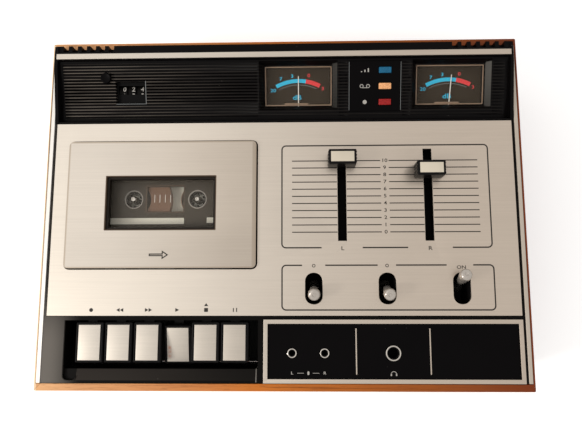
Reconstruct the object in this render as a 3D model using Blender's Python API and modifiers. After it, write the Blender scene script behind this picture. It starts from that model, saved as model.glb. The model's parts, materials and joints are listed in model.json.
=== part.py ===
# Cassette deck with a wood cabinet, a sloped meter bridge, a hinged lid and six piano keys.
# Lengths are in metres, X runs to the right, Y to the back and Z up.
# The origin is on the table, under the middle of the cabinet.
import math

import bmesh
import bpy
from mathutils import Matrix, Vector

# Fits shared by the whole deck
GAP = 0.0003
OVERRUN = 0.002
WELD = 0.00001

# Cabinet
CABINET_WIDTH = 0.308
CABINET_DEPTH = 0.226
BOARD_HEIGHT = 0.078
BOARD_THICKNESS = 0.009
BOARD_EDGE = 0.0008
RIM_WIDTH = 0.0046
SIDE_RIM_WIDTH = 0.0014
REBATE_DEPTH = 0.0032
TRIM_WIDTH = 0.0024
TRIM_PROUD = 0.0004
BASE_THICKNESS = 0.002
BASE_SLOT_LENGTH = 0.060
BASE_SLOT_WIDTH = 0.004
BASE_SLOT_PITCH = 0.010
BASE_SLOT_COUNT = 4
FOOT_HEIGHT = 0.008
FOOT_RADIUS = 0.011
FOOT_TAPER = 0.0015
FOOT_INSET = 0.032

# Faceplate, and the bands in front of it and behind it
PLATE_FROM_SIDE = 0.0058
PLATE_FROM_FRONT = 0.0457
PLATE_FROM_BACK = 0.0559
PLATE_THICKNESS = 0.0012

# Lid over the cassette: places are measured from the middle of the faceplate
LID_WIDTH = 0.122
LID_DEPTH = 0.082
LID_X = -0.0775
LID_Y = 0.0085
LID_PROUD = 0.002
LID_SHEET = 0.0016
LID_GAP = 0.0008
LID_CORNER = 0.0028
LID_EDGE = 0.0007
LID_FRAME_THICKNESS = 0.0042
LID_FRAME_INSET = 0.0003
WINDOW_WIDTH = 0.0716
WINDOW_DEPTH = 0.0355
WINDOW_X = -0.0779
WINDOW_Y = 0.00915
WINDOW_BORDER = 0.0020
WINDOW_SEAT = 0.0010
PANE_THICKNESS = 0.0012
HINGE_FROM_BACK = 0.013
HINGE_DROP = 0.0034
HINGE_PIN_RADIUS = 0.0011
HINGE_PIN_LENGTH = 0.0030
RUNNING_GAP = 0.00015
BAY_MARGIN = 0.0015
BAY_WALL = 0.0020
BAY_DEPTH = 0.0240
BAY_FRONT_DEPTH = 0.0095

# Cassette
CASSETTE_WIDTH = 0.1004
CASSETTE_DEPTH = 0.0638
CASSETTE_THICKNESS = 0.0087
CASSETTE_TOP = 0.0123
CASSETTE_WALL = 0.0014
HUB_SPACING = 0.0425
HUB_X = -0.0780
HUB_Y = 0.0136
HUB_FROM_FRONT = 0.0345
HUB_HOLE_RADIUS = 0.0058
HUB_BORE_RADIUS = 0.0050
HUB_TOOTH = 0.0011
HUB_TOOTH_COUNT = 6
TAPE_RADIUS_LEFT = 0.0250
TAPE_RADIUS_RIGHT = 0.0116
CASSETTE_WINDOW_WIDTH = 0.0244
CASSETTE_WINDOW_DEPTH = 0.0170
CASSETTE_THICK_WIDTH = 0.0660
CASSETTE_THICK_DEPTH = 0.0140
CASSETTE_THICK_EXTRA = 0.0016
HEAD_SLOT_WIDTH = 0.0170
HEAD_SLOT_DEPTH = 0.0042
SIDE_SLOT_WIDTH = 0.0120
SIDE_SLOT_X = 0.0295

# Sloped panel of the meter bridge
BRIDGE_WALL = 0.0020
BRIDGE_HEIGHT = 0.0066
BRIDGE_NOTCH = 0.0090
CHEEK_WIDTH = 0.0021
PANEL_START = 0.0034
PANEL_FRONT_DROP = 0.0058
PANEL_RUN = 0.0375
PANEL_RISE = 0.0103
RIB_COUNT = 17
RIB_PITCH = 0.0020
RIB_HEIGHT = 0.0008
GROOVE_WIDTH = 0.0013
RIB_START = 0.0034
RIB_SIDE_MARGIN = 0.0024
RIDGE_STEP = 0.0010
STRIP_WIDTH = 0.0036
STRIP_THICKNESS = 0.0010
STRIP_END = 0.0016
VENT_COUNT = 6
VENT_PITCH = 0.0060
VENT_WIDTH = 0.0036
VENT_DEPTH = 0.0040
VENT_FROM_END = 0.0072

# Level meters: the along value runs up the slope from the panel's front edge
METER_LEFT_X = 0.0106
METER_RIGHT_X = 0.1110
METER_ALONG = 0.0221
METER_MOUTH_WIDTH = 0.0515
METER_MOUTH_DEPTH = 0.0313
METER_FACE_WIDTH = 0.0446
METER_FACE_DEPTH = 0.0259
METER_SURROUND = 0.0537
METER_BEVEL_DEPTH = 0.0046
METER_BOSS_MARGIN = 0.0030
METER_CASE_WIDTH = 0.0500
METER_CASE_DEPTH = 0.0380
METER_CASE_HEIGHT = 0.0120
METER_CASE_SHIFT = 0.0015
METER_CAVITY_DEPTH = 0.0028
METER_LEDGE = 0.0007
METER_GLASS_THICKNESS = 0.0010
NEEDLE_RADIUS_LENGTH = 0.0230
NEEDLE_WIDTH = 0.0006
NEEDLE_THICKNESS = 0.0005
NEEDLE_HUB_RADIUS = 0.0016
NEEDLE_PIN_RADIUS = 0.0006
NEEDLE_PIVOT_BELOW = 0.0162
NEEDLE_POCKET_WIDTH = 0.0160
NEEDLE_POCKET_REACH = 0.0200
NEEDLE_TILT_RIGHT = math.radians(4.0)

# Lamp plate
LAMP_PLATE_X = 0.0609
LAMP_PLATE_ALONG = 0.0212
LAMP_PLATE_WIDTH = 0.0334
LAMP_PLATE_DEPTH = 0.0323
LAMP_PLATE_THICKNESS = 0.0012
LAMP_SURROUND = 0.0363
LAMP_X = 0.0675
LAMP_WIDTH = 0.0087
LAMP_DEPTH = 0.0045
LAMP_CARRIER_THICKNESS = 0.0016
LAMP_PITCH = 0.0103
LAMP_COUNT = 3

# Tape counter
COUNTER_X = -0.1007
COUNTER_ALONG = 0.0184
COUNTER_WINDOW_WIDTH = 0.0200
COUNTER_WINDOW_DEPTH = 0.0146
COUNTER_CASE_MARGIN = 0.0030
COUNTER_CASE_HEIGHT = 0.0190
COUNTER_WHEEL_RADIUS = 0.0072
COUNTER_WHEEL_WIDTH = 0.0055
COUNTER_WHEEL_PITCH = 0.0060
COUNTER_AXLE_RADIUS = 0.0012
COUNTER_DROP = 0.0106
RESET_X = -0.1166
RESET_ALONG = 0.0282
RESET_RADIUS = 0.0034
RESET_PROUD = 0.0022
RESET_LENGTH = 0.0110
RESET_TRAVEL = 0.0025

# Keys and their well
KEY_FIRST_X = -0.1200
KEY_PITCH = 0.01813
KEY_WIDTH = 0.0174
KEY_DEPTH = 0.0246
KEY_HEIGHT = 0.0078
KEY_PROUD = 0.0008
KEY_EDGE = 0.0006
KEY_PLATE_WIDTH = 0.0141
KEY_PLATE_DEPTH = 0.0209
KEY_PLATE_THICKNESS = 0.0009
KEY_PLATE_PROUD = 0.0003
KEY_ARM_WIDTH = 0.0060
KEY_ARM_THICKNESS = 0.0060
KEY_BOSS_RADIUS = 0.0042
KEY_BOSS_WIDTH = 0.0080
KEY_SHAFT_RADIUS = 0.0020
KEY_SHAFT_DROP = 0.0112
KEY_SHAFT_BEHIND = 0.0092
KEY_BACK_GAP = 0.0013
KEY_PRESS = math.radians(12.0)
WELL_LEFT = -0.1365
WELL_RIGHT = -0.0149
WELL_BACK_RAIL = 0.0027
WELL_DEPTH = 0.0298
WELL_WALL = 0.0016
WELL_WALL_DEPTH = 0.0150
LIP_DEPTH = 0.0068
LIP_DROP = 0.0024
LIP_RECESS_WIDTH = 0.0085

# Jack panel
JACK_LEFT = -0.0115
JACK_RIGHT = 0.1482
JACK_BACK_RAIL = 0.0023
JACK_DEPTH = 0.0385
JACK_POCKET = 0.0018
JACK_PLATE_THICKNESS = 0.0012
JACK_FRAME_WIDTH = 0.0026
JACK_FRAME_THICKNESS = 0.0007
DIVIDER_WIDTH = 0.0012
DIVIDER_LENGTH = 0.0277
DIVIDER_PLACES = (0.0458, 0.0912)
JACK_LINE = 0.0224
MIC_PLACES = (0.0062, 0.0263)
MIC_RING_RADIUS = 0.00295
MIC_HOLE_RADIUS = 0.0020
MIC_BODY_RADIUS = 0.0046
MIC_BODY_LENGTH = 0.0160
PHONES_PLACE = 0.0685
PHONES_RING_RADIUS = 0.00475
PHONES_HOLE_RADIUS = 0.00365
PHONES_BODY_RADIUS = 0.0080
PHONES_BODY_LENGTH = 0.0240
JACK_RING_PROUD = 0.0006
JACK_BOTTOM = 0.0020
JACK_CARRIER_THICKNESS = 0.0016
JACK_LEDGE = 0.0040

# Level sliders
SLIDER_LEFT_X = 0.0383
SLIDER_RIGHT_X = 0.0933
SLIDER_SLOT_Y = 0.0141
SLIDER_SLOT_LENGTH = 0.0594
SLIDER_SLOT_WIDTH = 0.0056
SLIDER_SLOT_CLEARANCE = 0.0016
SLIDER_SCALE_BOTTOM = -0.0100
SLIDER_TRAVEL = 0.0462
SLIDER_LEFT_SETTING_SHARE = 1.0
SLIDER_RIGHT_SETTING_SHARE = 0.84
KNOB_WIDTH = 0.0180
KNOB_DEPTH = 0.0094
KNOB_TOP = 0.0127
KNOB_BOTTOM = 0.0010
KNOB_EDGE = 0.0008
STEM_WIDTH = 0.0036
STEM_DEPTH = 0.0060
CARRIAGE_WIDTH = 0.0056
CARRIAGE_DEPTH = 0.0110
CARRIAGE_HEIGHT = 0.0030
TRACK_LENGTH = 0.0750
TRACK_WIDTH = 0.0120
TRACK_HEIGHT = 0.0090
TRACK_FLOOR = 0.0015
TRACK_SLOT_WIDTH = 0.0064
TRACK_SLOT_LENGTH = 0.0660
TRACK_STRAP_WIDTH = 0.0080
TRACK_STRAP_THICKNESS = 0.0012

# Toggle switches
TOGGLE_PLACES = (0.01995, 0.0659, 0.1121)
TOGGLE_SLOT_Y = -0.0454
TOGGLE_SLOT_WIDTH = 0.0109
TOGGLE_SLOT_LENGTH = 0.0196
TOGGLE_PIVOT_Y = -0.0433
TOGGLE_PIVOT_DROP = 0.0140
TOGGLE_LENGTH = 0.0225
TOGGLE_TIP_RADIUS = 0.0037
TOGGLE_TIP_LENGTH = 0.0060
TOGGLE_TIP_CHAMFER = 0.0008
TOGGLE_NECK_RADIUS = 0.0021
TOGGLE_BALL_RADIUS = 0.0040
TOGGLE_PIN_RADIUS = 0.0011
TOGGLE_BODY_WIDTH = 0.0150
TOGGLE_BODY_LENGTH = 0.0236
TOGGLE_BODY_HEIGHT = 0.0200
TOGGLE_CAVITY_WIDTH = 0.0100
TOGGLE_CAVITY_LENGTH = 0.0190
TOGGLE_CAVITY_FLOOR = 0.0015
TOGGLE_SWING = math.radians(14.0)

# Transport
DECK_DROP = 0.0260
DECK_THICKNESS = 0.0015
DECK_LEFT = -0.1410
DECK_RIGHT = -0.0135
DECK_FRONT = -0.0600
DECK_BACK = 0.0540
LEG_SIZE = 0.0070
SHAFT_EAR_THICKNESS = 0.0020
SHAFT_EAR_DEPTH = 0.0100
SHAFT_EAR_RISE = 0.0040
REST_POST_RADIUS = 0.0022
REST_POST_INSET_X = 0.0060
REST_POST_INSET_Y = 0.0060
SPINDLE_RADIUS = 0.0030
SPINDLE_FIN = 0.0009
SPINDLE_TIP = 0.0011
SPINDLE_SHAFT_RADIUS = 0.0016
REEL_TABLE_RADIUS = 0.0100
REEL_TABLE_THICKNESS = 0.0020
REEL_DRUM_RADIUS = 0.0080
REEL_DRUM_THICKNESS = 0.0060
CAPSTAN_X = 0.0295
CAPSTAN_FROM_EDGE = 0.0042
CAPSTAN_RADIUS = 0.0010
CAPSTAN_TOP = 0.0100
CAPSTAN_SLEEVE_RADIUS = 0.0036
CAPSTAN_SLEEVE_LENGTH = 0.0260
CAPSTAN_HOLE_RADIUS = 0.0026
FLYWHEEL_RADIUS = 0.0280
FLYWHEEL_DROP = 0.0570
FLYWHEEL_THICKNESS = 0.0070
FLYWHEEL_SHAFT_TAIL = 0.0030
THRUST_POST_RADIUS = 0.0050
ROLLER_RADIUS = 0.0064
ROLLER_HEIGHT = 0.0062
ROLLER_BORE = 0.0012
HEAD_PLATE_THICKNESS = 0.0012
HEAD_PLATE_LIFT = 0.0004
HEAD_PLATE_WIDTH = 0.0860
HEAD_PLATE_DEPTH = 0.0150
HEAD_WIDTH = 0.0120
HEAD_DEPTH = 0.0110
HEAD_HEIGHT = 0.0120
HEAD_REACH = 0.0034
HEAD_NOSE_WIDTH = 0.0100
HEAD_NOSE_HEIGHT = 0.0050
ERASE_HEAD_WIDTH = 0.0080
HEAD_TRAVEL = 0.0050
MOTOR_X = -0.1180
MOTOR_Y = -0.0300
MOTOR_RADIUS = 0.0150
MOTOR_HEIGHT = 0.0260
MOTOR_SHAFT_RADIUS = 0.0010
PULLEY_RADIUS = 0.0045
PULLEY_THICKNESS = 0.0060
BELT_THICKNESS = 0.0008
BELT_WIDTH = 0.0040

# Electrics
BOARD_LEFT = -0.0050
BOARD_RIGHT = 0.0900
BOARD_FRONT = -0.0560
BOARD_BACK = 0.0560
BOARD_LIFT = 0.0050
BOARD_SHEET = 0.0016
BOARD_POST_RADIUS = 0.0030
BOARD_POST_INSET = 0.0080
CAPACITOR_RADIUS = 0.0050
CAPACITOR_HEIGHT = 0.0160
CAPACITOR_PITCH = 0.0150
CAPACITOR_COUNT = 4
COIL_SCREEN_SIZE = 0.0120
TRANSFORMER_FROM_SIDE = 0.0360
TRANSFORMER_FROM_BACK = 0.0430
TRANSFORMER_WIDTH = 0.0400
TRANSFORMER_DEPTH = 0.0340
TRANSFORMER_HEIGHT = 0.0330
TRANSFORMER_COIL_WIDTH = 0.0220
TRANSFORMER_COIL_DEPTH = 0.0480
TRANSFORMER_COIL_HEIGHT = 0.0230
TRANSFORMER_FOOT = 0.0015
TRANSFORMER_FOOT_WIDTH = 0.0500
REAR_PANEL_WIDTH = 0.1100
REAR_PANEL_HEIGHT = 0.0300
REAR_PANEL_X = 0.0500
REAR_PANEL_LIFT = 0.0240
REAR_PANEL_THICKNESS = 0.0015
REAR_OPENING_BORDER = 0.0050
PHONO_RADIUS = 0.0042
PHONO_LENGTH = 0.0060
PHONO_PIN_RADIUS = 0.0016
PHONO_PITCH = 0.0180
PHONO_COUNT = 4
INLET_RADIUS = 0.0065
INLET_FROM_END = 0.0140

# Places that follow from the sizes above
HALF_WIDTH = CABINET_WIDTH / 2
FRONT_Y = -CABINET_DEPTH / 2
BACK_Y = CABINET_DEPTH / 2
TOP = FOOT_HEIGHT + BOARD_HEIGHT
PLATE_WIDTH = CABINET_WIDTH - 2 * PLATE_FROM_SIDE
PLATE_DEPTH = CABINET_DEPTH - PLATE_FROM_FRONT - PLATE_FROM_BACK
PLATE_Y = FRONT_Y + PLATE_FROM_FRONT + PLATE_DEPTH / 2
PLATE_FRONT = PLATE_Y - PLATE_DEPTH / 2
PLATE_BACK = PLATE_Y + PLATE_DEPTH / 2
FLOOR = FOOT_HEIGHT + BASE_THICKNESS
MOULDING_HALF = HALF_WIDTH - SIDE_RIM_WIDTH - TRIM_WIDTH - 2 * GAP
MOULDING_FRONT = FRONT_Y + RIM_WIDTH + GAP
MOULDING_BOTTOM = TOP - REBATE_DEPTH + GAP
BRIDGE_BACK = BACK_Y - RIM_WIDTH - GAP
BRIDGE_FRONT = PLATE_BACK + GAP
DECK_TOP = TOP - DECK_DROP
DECK_BOTTOM = DECK_TOP - DECK_THICKNESS
LID_CENTRE = (LID_X, PLATE_Y + LID_Y)
LID_BACK = LID_CENTRE[1] + LID_DEPTH / 2
HINGE_Y = LID_BACK - HINGE_FROM_BACK
HINGE_Z = TOP - HINGE_DROP
CASSETTE_FRONT = PLATE_Y + HUB_Y - HUB_FROM_FRONT
CASSETTE_TOP_Z = TOP - CASSETTE_TOP
CASSETTE_BOTTOM_Z = CASSETTE_TOP_Z - CASSETTE_THICKNESS
SPINDLE_PLACES = {"supply": HUB_X - HUB_SPACING / 2, "takeup": HUB_X + HUB_SPACING / 2}
SPINDLE_Y = PLATE_Y + HUB_Y
CAPSTAN_PLACE = (HUB_X + CAPSTAN_X, CASSETTE_FRONT + CAPSTAN_FROM_EDGE)
ROLLER_PLACE = (CAPSTAN_PLACE[0], CAPSTAN_PLACE[1] - CAPSTAN_RADIUS - ROLLER_RADIUS - GAP)
FLYWHEEL_TOP = TOP - FLYWHEEL_DROP
KEY_TOP = TOP + KEY_PROUD
KEY_SHAFT_Y = PLATE_FRONT + KEY_SHAFT_BEHIND
KEY_SHAFT_Z = KEY_TOP - KEY_SHAFT_DROP
WELL_BACK = PLATE_FRONT - WELL_BACK_RAIL
WELL_FRONT = WELL_BACK - WELL_DEPTH
JACK_BACK = PLATE_FRONT - JACK_BACK_RAIL
JACK_FRONT = JACK_BACK - JACK_DEPTH
SLOPE = math.atan2(PANEL_RISE, PANEL_RUN)
PANEL_LENGTH = math.hypot(PANEL_RISE, PANEL_RUN)
PANEL_ORIGIN = Vector((0, BRIDGE_FRONT + PANEL_START, TOP - PANEL_FRONT_DROP))
PANEL_TURN = Matrix.Translation(PANEL_ORIGIN) @ Matrix.Rotation(SLOPE, 4, "X")
METER_CASE_TOP = METER_BEVEL_DEPTH + GAP
METER_FLOOR = METER_CASE_TOP + METER_GLASS_THICKNESS + GAP + METER_CAVITY_DEPTH
NEEDLE_LEVEL = METER_FLOOR - 2 * NEEDLE_THICKNESS - GAP
TRANSFORMER_PLACE = (HALF_WIDTH - TRANSFORMER_FROM_SIDE, BACK_Y - TRANSFORMER_FROM_BACK)

PART_NAME = "cassette_deck"
ROUND = 18
SMALL_ROUND = 10
CORNER_STEPS = 4
SLOT_END_STEPS = 6
BALL_STEPS = 3
SMOOTH_ANGLE = math.radians(35)

WOOD = ("wood", (0.52, 0.25, 0.10), 0.45, 0.0)
ALUMINIUM = ("aluminium", (0.72, 0.68, 0.60), 0.35, 1.0)
BLACK = ("black_plastic", (0.02, 0.018, 0.018), 0.35, 0.0)
BRIGHT = ("chrome", (0.80, 0.80, 0.80), 0.15, 1.0)
STEEL = ("zinc_steel", (0.55, 0.54, 0.50), 0.40, 1.0)
BRASS = ("brass", (0.75, 0.55, 0.25), 0.30, 1.0)
RUBBER = ("rubber", (0.03, 0.03, 0.03), 0.80, 0.0)
CLEAR = ("clear_plastic", (0.80, 0.82, 0.82), 0.05, 0.0)
SMOKE = ("smoke_plastic", (0.08, 0.07, 0.06), 0.25, 0.0)
CREAM = ("cream_plastic", (0.85, 0.80, 0.68), 0.40, 0.0)
TAPE = ("tape_brown", (0.16, 0.08, 0.05), 0.40, 0.0)
SCALE_FACE = ("meter_scale", (0.10, 0.08, 0.07), 0.50, 0.0)
AMBER = ("amber_lens", (0.85, 0.45, 0.15), 0.20, 0.0)
GREEN_BOARD = ("circuit_board", (0.25, 0.16, 0.06), 0.55, 0.0)


def clear_scene():
    """Remove the objects of the scene that is open."""
    for thing in list(bpy.data.objects):
        bpy.data.objects.remove(thing, do_unlink=True)


def add_collection(name):
    """Return a new collection that hangs under the scene."""
    group = bpy.data.collections.new(name)
    bpy.context.scene.collection.children.link(group)
    return group


def material_for(finish):
    """Return the material of a finish: its name, colour, roughness and metallic value."""
    name, colour, roughness, metallic = finish
    found = bpy.data.materials.get(name)
    if found:
        return found
    made = bpy.data.materials.new(name)
    made.use_nodes = True
    shader = made.node_tree.nodes["Principled BSDF"]
    shader.inputs["Base Color"].default_value = (*colour, 1.0)
    shader.inputs["Roughness"].default_value = roughness
    shader.inputs["Metallic"].default_value = metallic
    made.diffuse_color = (*colour, 1.0)
    return made


def mesh_object(name, shape, group, finish=None):
    """Put a bmesh into a new object of a collection and free it."""
    mesh = bpy.data.meshes.new(name)
    shape.to_mesh(mesh)
    shape.free()
    made = bpy.data.objects.new(name, mesh)
    group.objects.link(made)
    if finish:
        mesh.materials.append(material_for(finish))
    return made


def add_box(shape, low, high):
    """Add a box between two corners to a bmesh."""
    low = Vector(low)
    high = Vector(high)
    size = high - low
    place = Matrix.Translation((low + high) / 2) @ Matrix.Diagonal((*size, 1))
    bmesh.ops.create_cube(shape, size=1, matrix=place)


def add_round(shape, centre, radius, length, axis="Z", sides=ROUND, tip=None):
    """Add a cylinder or a cone about its centre to a bmesh."""
    turns = {"Z": Matrix.Identity(4),
             "X": Matrix.Rotation(math.pi / 2, 4, "Y"),
             "Y": Matrix.Rotation(-math.pi / 2, 4, "X")}
    place = Matrix.Translation(Vector(centre)) @ turns[axis]
    bmesh.ops.create_cone(shape, cap_ends=True, segments=sides, radius1=radius,
                          radius2=radius if tip is None else tip, depth=length, matrix=place)


def box_object(name, low, high, group, finish=None, edge=0, segments=2):
    """Return a box with rounded edges."""
    shape = bmesh.new()
    add_box(shape, low, high)
    made = mesh_object(name, shape, group, finish)
    if edge:
        soften(made, edge, segments)
    return made


def soften(target, edge, segments=2):
    """Round the edges of an object with a Bevel modifier."""
    bevel = target.modifiers.new("rounded_edges", "BEVEL")
    bevel.width = edge
    bevel.segments = segments
    bevel.limit_method = "ANGLE"


def shade_round(target):
    """Shade the curved faces of an object smooth."""
    target.data.shade_smooth()
    target.data.set_sharp_from_angle(angle=SMOOTH_ANGLE)


def outline_object(name, points, low, high, plane, group, finish=None):
    """Return an extruded flat outline as a mesh: plane XY runs along Z, plane YZ along X."""
    curve = bpy.data.curves.new(name, "CURVE")
    curve.dimensions = "2D"
    curve.fill_mode = "BOTH"
    curve.extrude = (high - low) / 2
    line = curve.splines.new("POLY")
    line.points.add(len(points) - 1)
    for spot, (across, up) in zip(line.points, points):
        spot.co = (across, up, 0, 1)
    line.use_cyclic_u = True
    guide = bpy.data.objects.new(name + "_outline", curve)
    group.objects.link(guide)
    bpy.context.view_layer.update()
    seen = guide.evaluated_get(bpy.context.evaluated_depsgraph_get())
    mesh = bpy.data.meshes.new_from_object(seen)
    bpy.data.objects.remove(guide, do_unlink=True)
    shape = bmesh.new()
    shape.from_mesh(mesh)
    bpy.data.meshes.remove(mesh)
    bmesh.ops.remove_doubles(shape, verts=shape.verts, dist=WELD)
    turns = {"XY": Matrix.Identity(4),
             "YZ": Matrix(((0, 0, 1, 0), (1, 0, 0, 0), (0, 1, 0, 0), (0, 0, 0, 1)))}
    middle = (low + high) / 2
    shift = Vector((0, 0, middle)) if plane == "XY" else Vector((middle, 0, 0))
    bmesh.ops.transform(shape, matrix=Matrix.Translation(shift) @ turns[plane], verts=shape.verts)
    bmesh.ops.recalc_face_normals(shape, faces=shape.faces)
    return mesh_object(name, shape, group, finish)


def rounded_rectangle(centre, width, depth, radius, steps=CORNER_STEPS):
    """Return the points of a rectangle with round corners."""
    points = []
    corners = ((1, 1, 0), (-1, 1, 1), (-1, -1, 2), (1, -1, 3))
    for side_x, side_y, quarter in corners:
        corner_x = centre[0] + side_x * (width / 2 - radius)
        corner_y = centre[1] + side_y * (depth / 2 - radius)
        for step in range(steps + 1):
            angle = (quarter + step / steps) * math.pi / 2
            points.append((corner_x + radius * math.cos(angle), corner_y + radius * math.sin(angle)))
    return points


def as_tool(tool):
    """Mark an object as a cutter or a guide."""
    tool.hide_render = True
    tool.display_type = "WIRE"
    return tool


def combine(target, tool, operation):
    """Cut a tool from a target or join it to the target."""
    change = target.modifiers.new(operation.lower() + "_" + tool.name, "BOOLEAN")
    change.operation = operation
    change.solver = "EXACT"
    change.object = as_tool(tool)


def cut_box(target, low, high):
    """Cut a box from a target."""
    combine(target, box_object(target.name + "_cut", low, high, CUTTERS), "DIFFERENCE")


def join_box(target, low, high):
    """Join a box to a target."""
    combine(target, box_object(target.name + "_add", low, high, CUTTERS), "UNION")


def cut_round(target, centre, radius, length, axis="Z", sides=ROUND):
    """Cut a round hole in a target."""
    shape = bmesh.new()
    add_round(shape, centre, radius, length, axis, sides)
    combine(target, mesh_object(target.name + "_hole", shape, CUTTERS), "DIFFERENCE")


def join_round(target, centre, radius, length, axis="Z", sides=ROUND, tip=None):
    """Join a cylinder or a cone to a target."""
    shape = bmesh.new()
    add_round(shape, centre, radius, length, axis, sides, tip)
    combine(target, mesh_object(target.name + "_boss", shape, CUTTERS), "UNION")


def cut_outline(target, points, low, high):
    """Cut an upright outline from a target."""
    combine(target, outline_object(target.name + "_slot", points, low, high, "XY", CUTTERS), "DIFFERENCE")


def turned_object(name, profile, centre, group, finish=None, sides=ROUND):
    """Return a turned shape: profile points of radius and height, from the top down, both on the axis."""
    shape = bmesh.new()
    spots = [shape.verts.new((radius, 0, height)) for radius, height in profile]
    for first, second in zip(spots, spots[1:]):
        shape.edges.new((first, second))
    made = mesh_object(name, shape, group, finish)
    made.location = centre
    screw = made.modifiers.new("turned", "SCREW")
    screw.steps = sides
    screw.render_steps = sides
    screw.use_merge_vertices = True
    screw.merge_threshold = WELD
    return made


def on_slope(target):
    """Turn an object that was drawn flat so that it lies on the sloped panel."""
    target.matrix_world = PANEL_TURN @ target.matrix_world


def slope_box(name, x, along, width, depth, top, bottom, group, finish=None, edge=0):
    """Return a box on the sloped panel: top and bottom are depths under the ribs."""
    low = (x - width / 2, along - depth / 2, -bottom)
    high = (x + width / 2, along + depth / 2, -top)
    made = box_object(name, low, high, group, finish, edge)
    on_slope(made)
    return made


def slope_cut(target, x, along, width, depth, top, bottom):
    """Cut a box from a piece of the sloped panel."""
    tool = slope_box(target.name + "_cut", x, along, width, depth, top, bottom, CUTTERS)
    combine(target, tool, "DIFFERENCE")


def make_cabinet():
    """The glued wood cabinet with a rebate for the moulding, and the bright side trims."""
    half_depth = CABINET_DEPTH / 2
    rebate_x = HALF_WIDTH - SIDE_RIM_WIDTH
    rebate_y = half_depth - RIM_WIDTH
    rebate_z = TOP - REBATE_DEPTH
    cabinet = box_object("wood_cabinet", (-HALF_WIDTH, -half_depth, FOOT_HEIGHT), (HALF_WIDTH, half_depth, TOP),
                         PARTS, WOOD, BOARD_EDGE)
    inner_x = HALF_WIDTH - BOARD_THICKNESS
    inner_y = half_depth - BOARD_THICKNESS
    cut_box(cabinet, (-inner_x, -inner_y, FOOT_HEIGHT - OVERRUN), (inner_x, inner_y, TOP + OVERRUN))
    cut_box(cabinet, (-rebate_x, -rebate_y, rebate_z), (rebate_x, rebate_y, TOP + OVERRUN))
    notch_x = MOULDING_HALF + GAP
    cut_box(cabinet, (-notch_x, BRIDGE_FRONT - GAP, TOP - BRIDGE_NOTCH), (notch_x, inner_y + GAP, TOP + OVERRUN))
    for name, side in (("side_trim_left", -1), ("side_trim_right", 1)):
        edges = sorted((side * (rebate_x - GAP), side * (rebate_x - GAP - TRIM_WIDTH)))
        box_object(name, (edges[0], GAP - rebate_y, rebate_z + GAP), (edges[1], rebate_y - GAP, TOP + TRIM_PROUD),
                   PARTS, ALUMINIUM)


def make_rear_panel():
    """The socket plate behind the opening in the cabinet's back, with phono sockets and the cord inlet."""
    board = PARTS.objects["wood_cabinet"]
    centre_z = FOOT_HEIGHT + REAR_PANEL_LIFT
    open_width = REAR_PANEL_WIDTH - 2 * REAR_OPENING_BORDER
    open_height = REAR_PANEL_HEIGHT - 2 * REAR_OPENING_BORDER
    cut_box(board, (REAR_PANEL_X - open_width / 2, BACK_Y - BOARD_THICKNESS - OVERRUN, centre_z - open_height / 2),
            (REAR_PANEL_X + open_width / 2, BACK_Y + OVERRUN, centre_z + open_height / 2))
    face = BACK_Y - BOARD_THICKNESS - GAP
    panel = box_object("rear_panel",
                       (REAR_PANEL_X - REAR_PANEL_WIDTH / 2, face - REAR_PANEL_THICKNESS,
                        centre_z - REAR_PANEL_HEIGHT / 2),
                       (REAR_PANEL_X + REAR_PANEL_WIDTH / 2, face, centre_z + REAR_PANEL_HEIGHT / 2), PARTS, STEEL)
    first = REAR_PANEL_X - open_width / 2 + INLET_FROM_END / 2 + PHONO_RADIUS
    middle = face - REAR_PANEL_THICKNESS / 2
    for number in range(PHONO_COUNT):
        place = first + number * PHONO_PITCH
        join_round(panel, (place, middle + PHONO_LENGTH / 2, centre_z), PHONO_RADIUS, PHONO_LENGTH, "Y", SMALL_ROUND)
        cut_round(panel, (place, face + PHONO_LENGTH, centre_z), PHONO_PIN_RADIUS, 2 * PHONO_LENGTH, "Y",
                  SMALL_ROUND)
    inlet_x = REAR_PANEL_X + open_width / 2 - INLET_FROM_END
    join_round(panel, (inlet_x, middle + PHONO_LENGTH / 2, centre_z), INLET_RADIUS, PHONO_LENGTH, "Y")
    cut_round(panel, (inlet_x, face, centre_z), PHONO_PIN_RADIUS * 2, 4 * PHONO_LENGTH, "Y", SMALL_ROUND)
    shade_round(panel)


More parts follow.
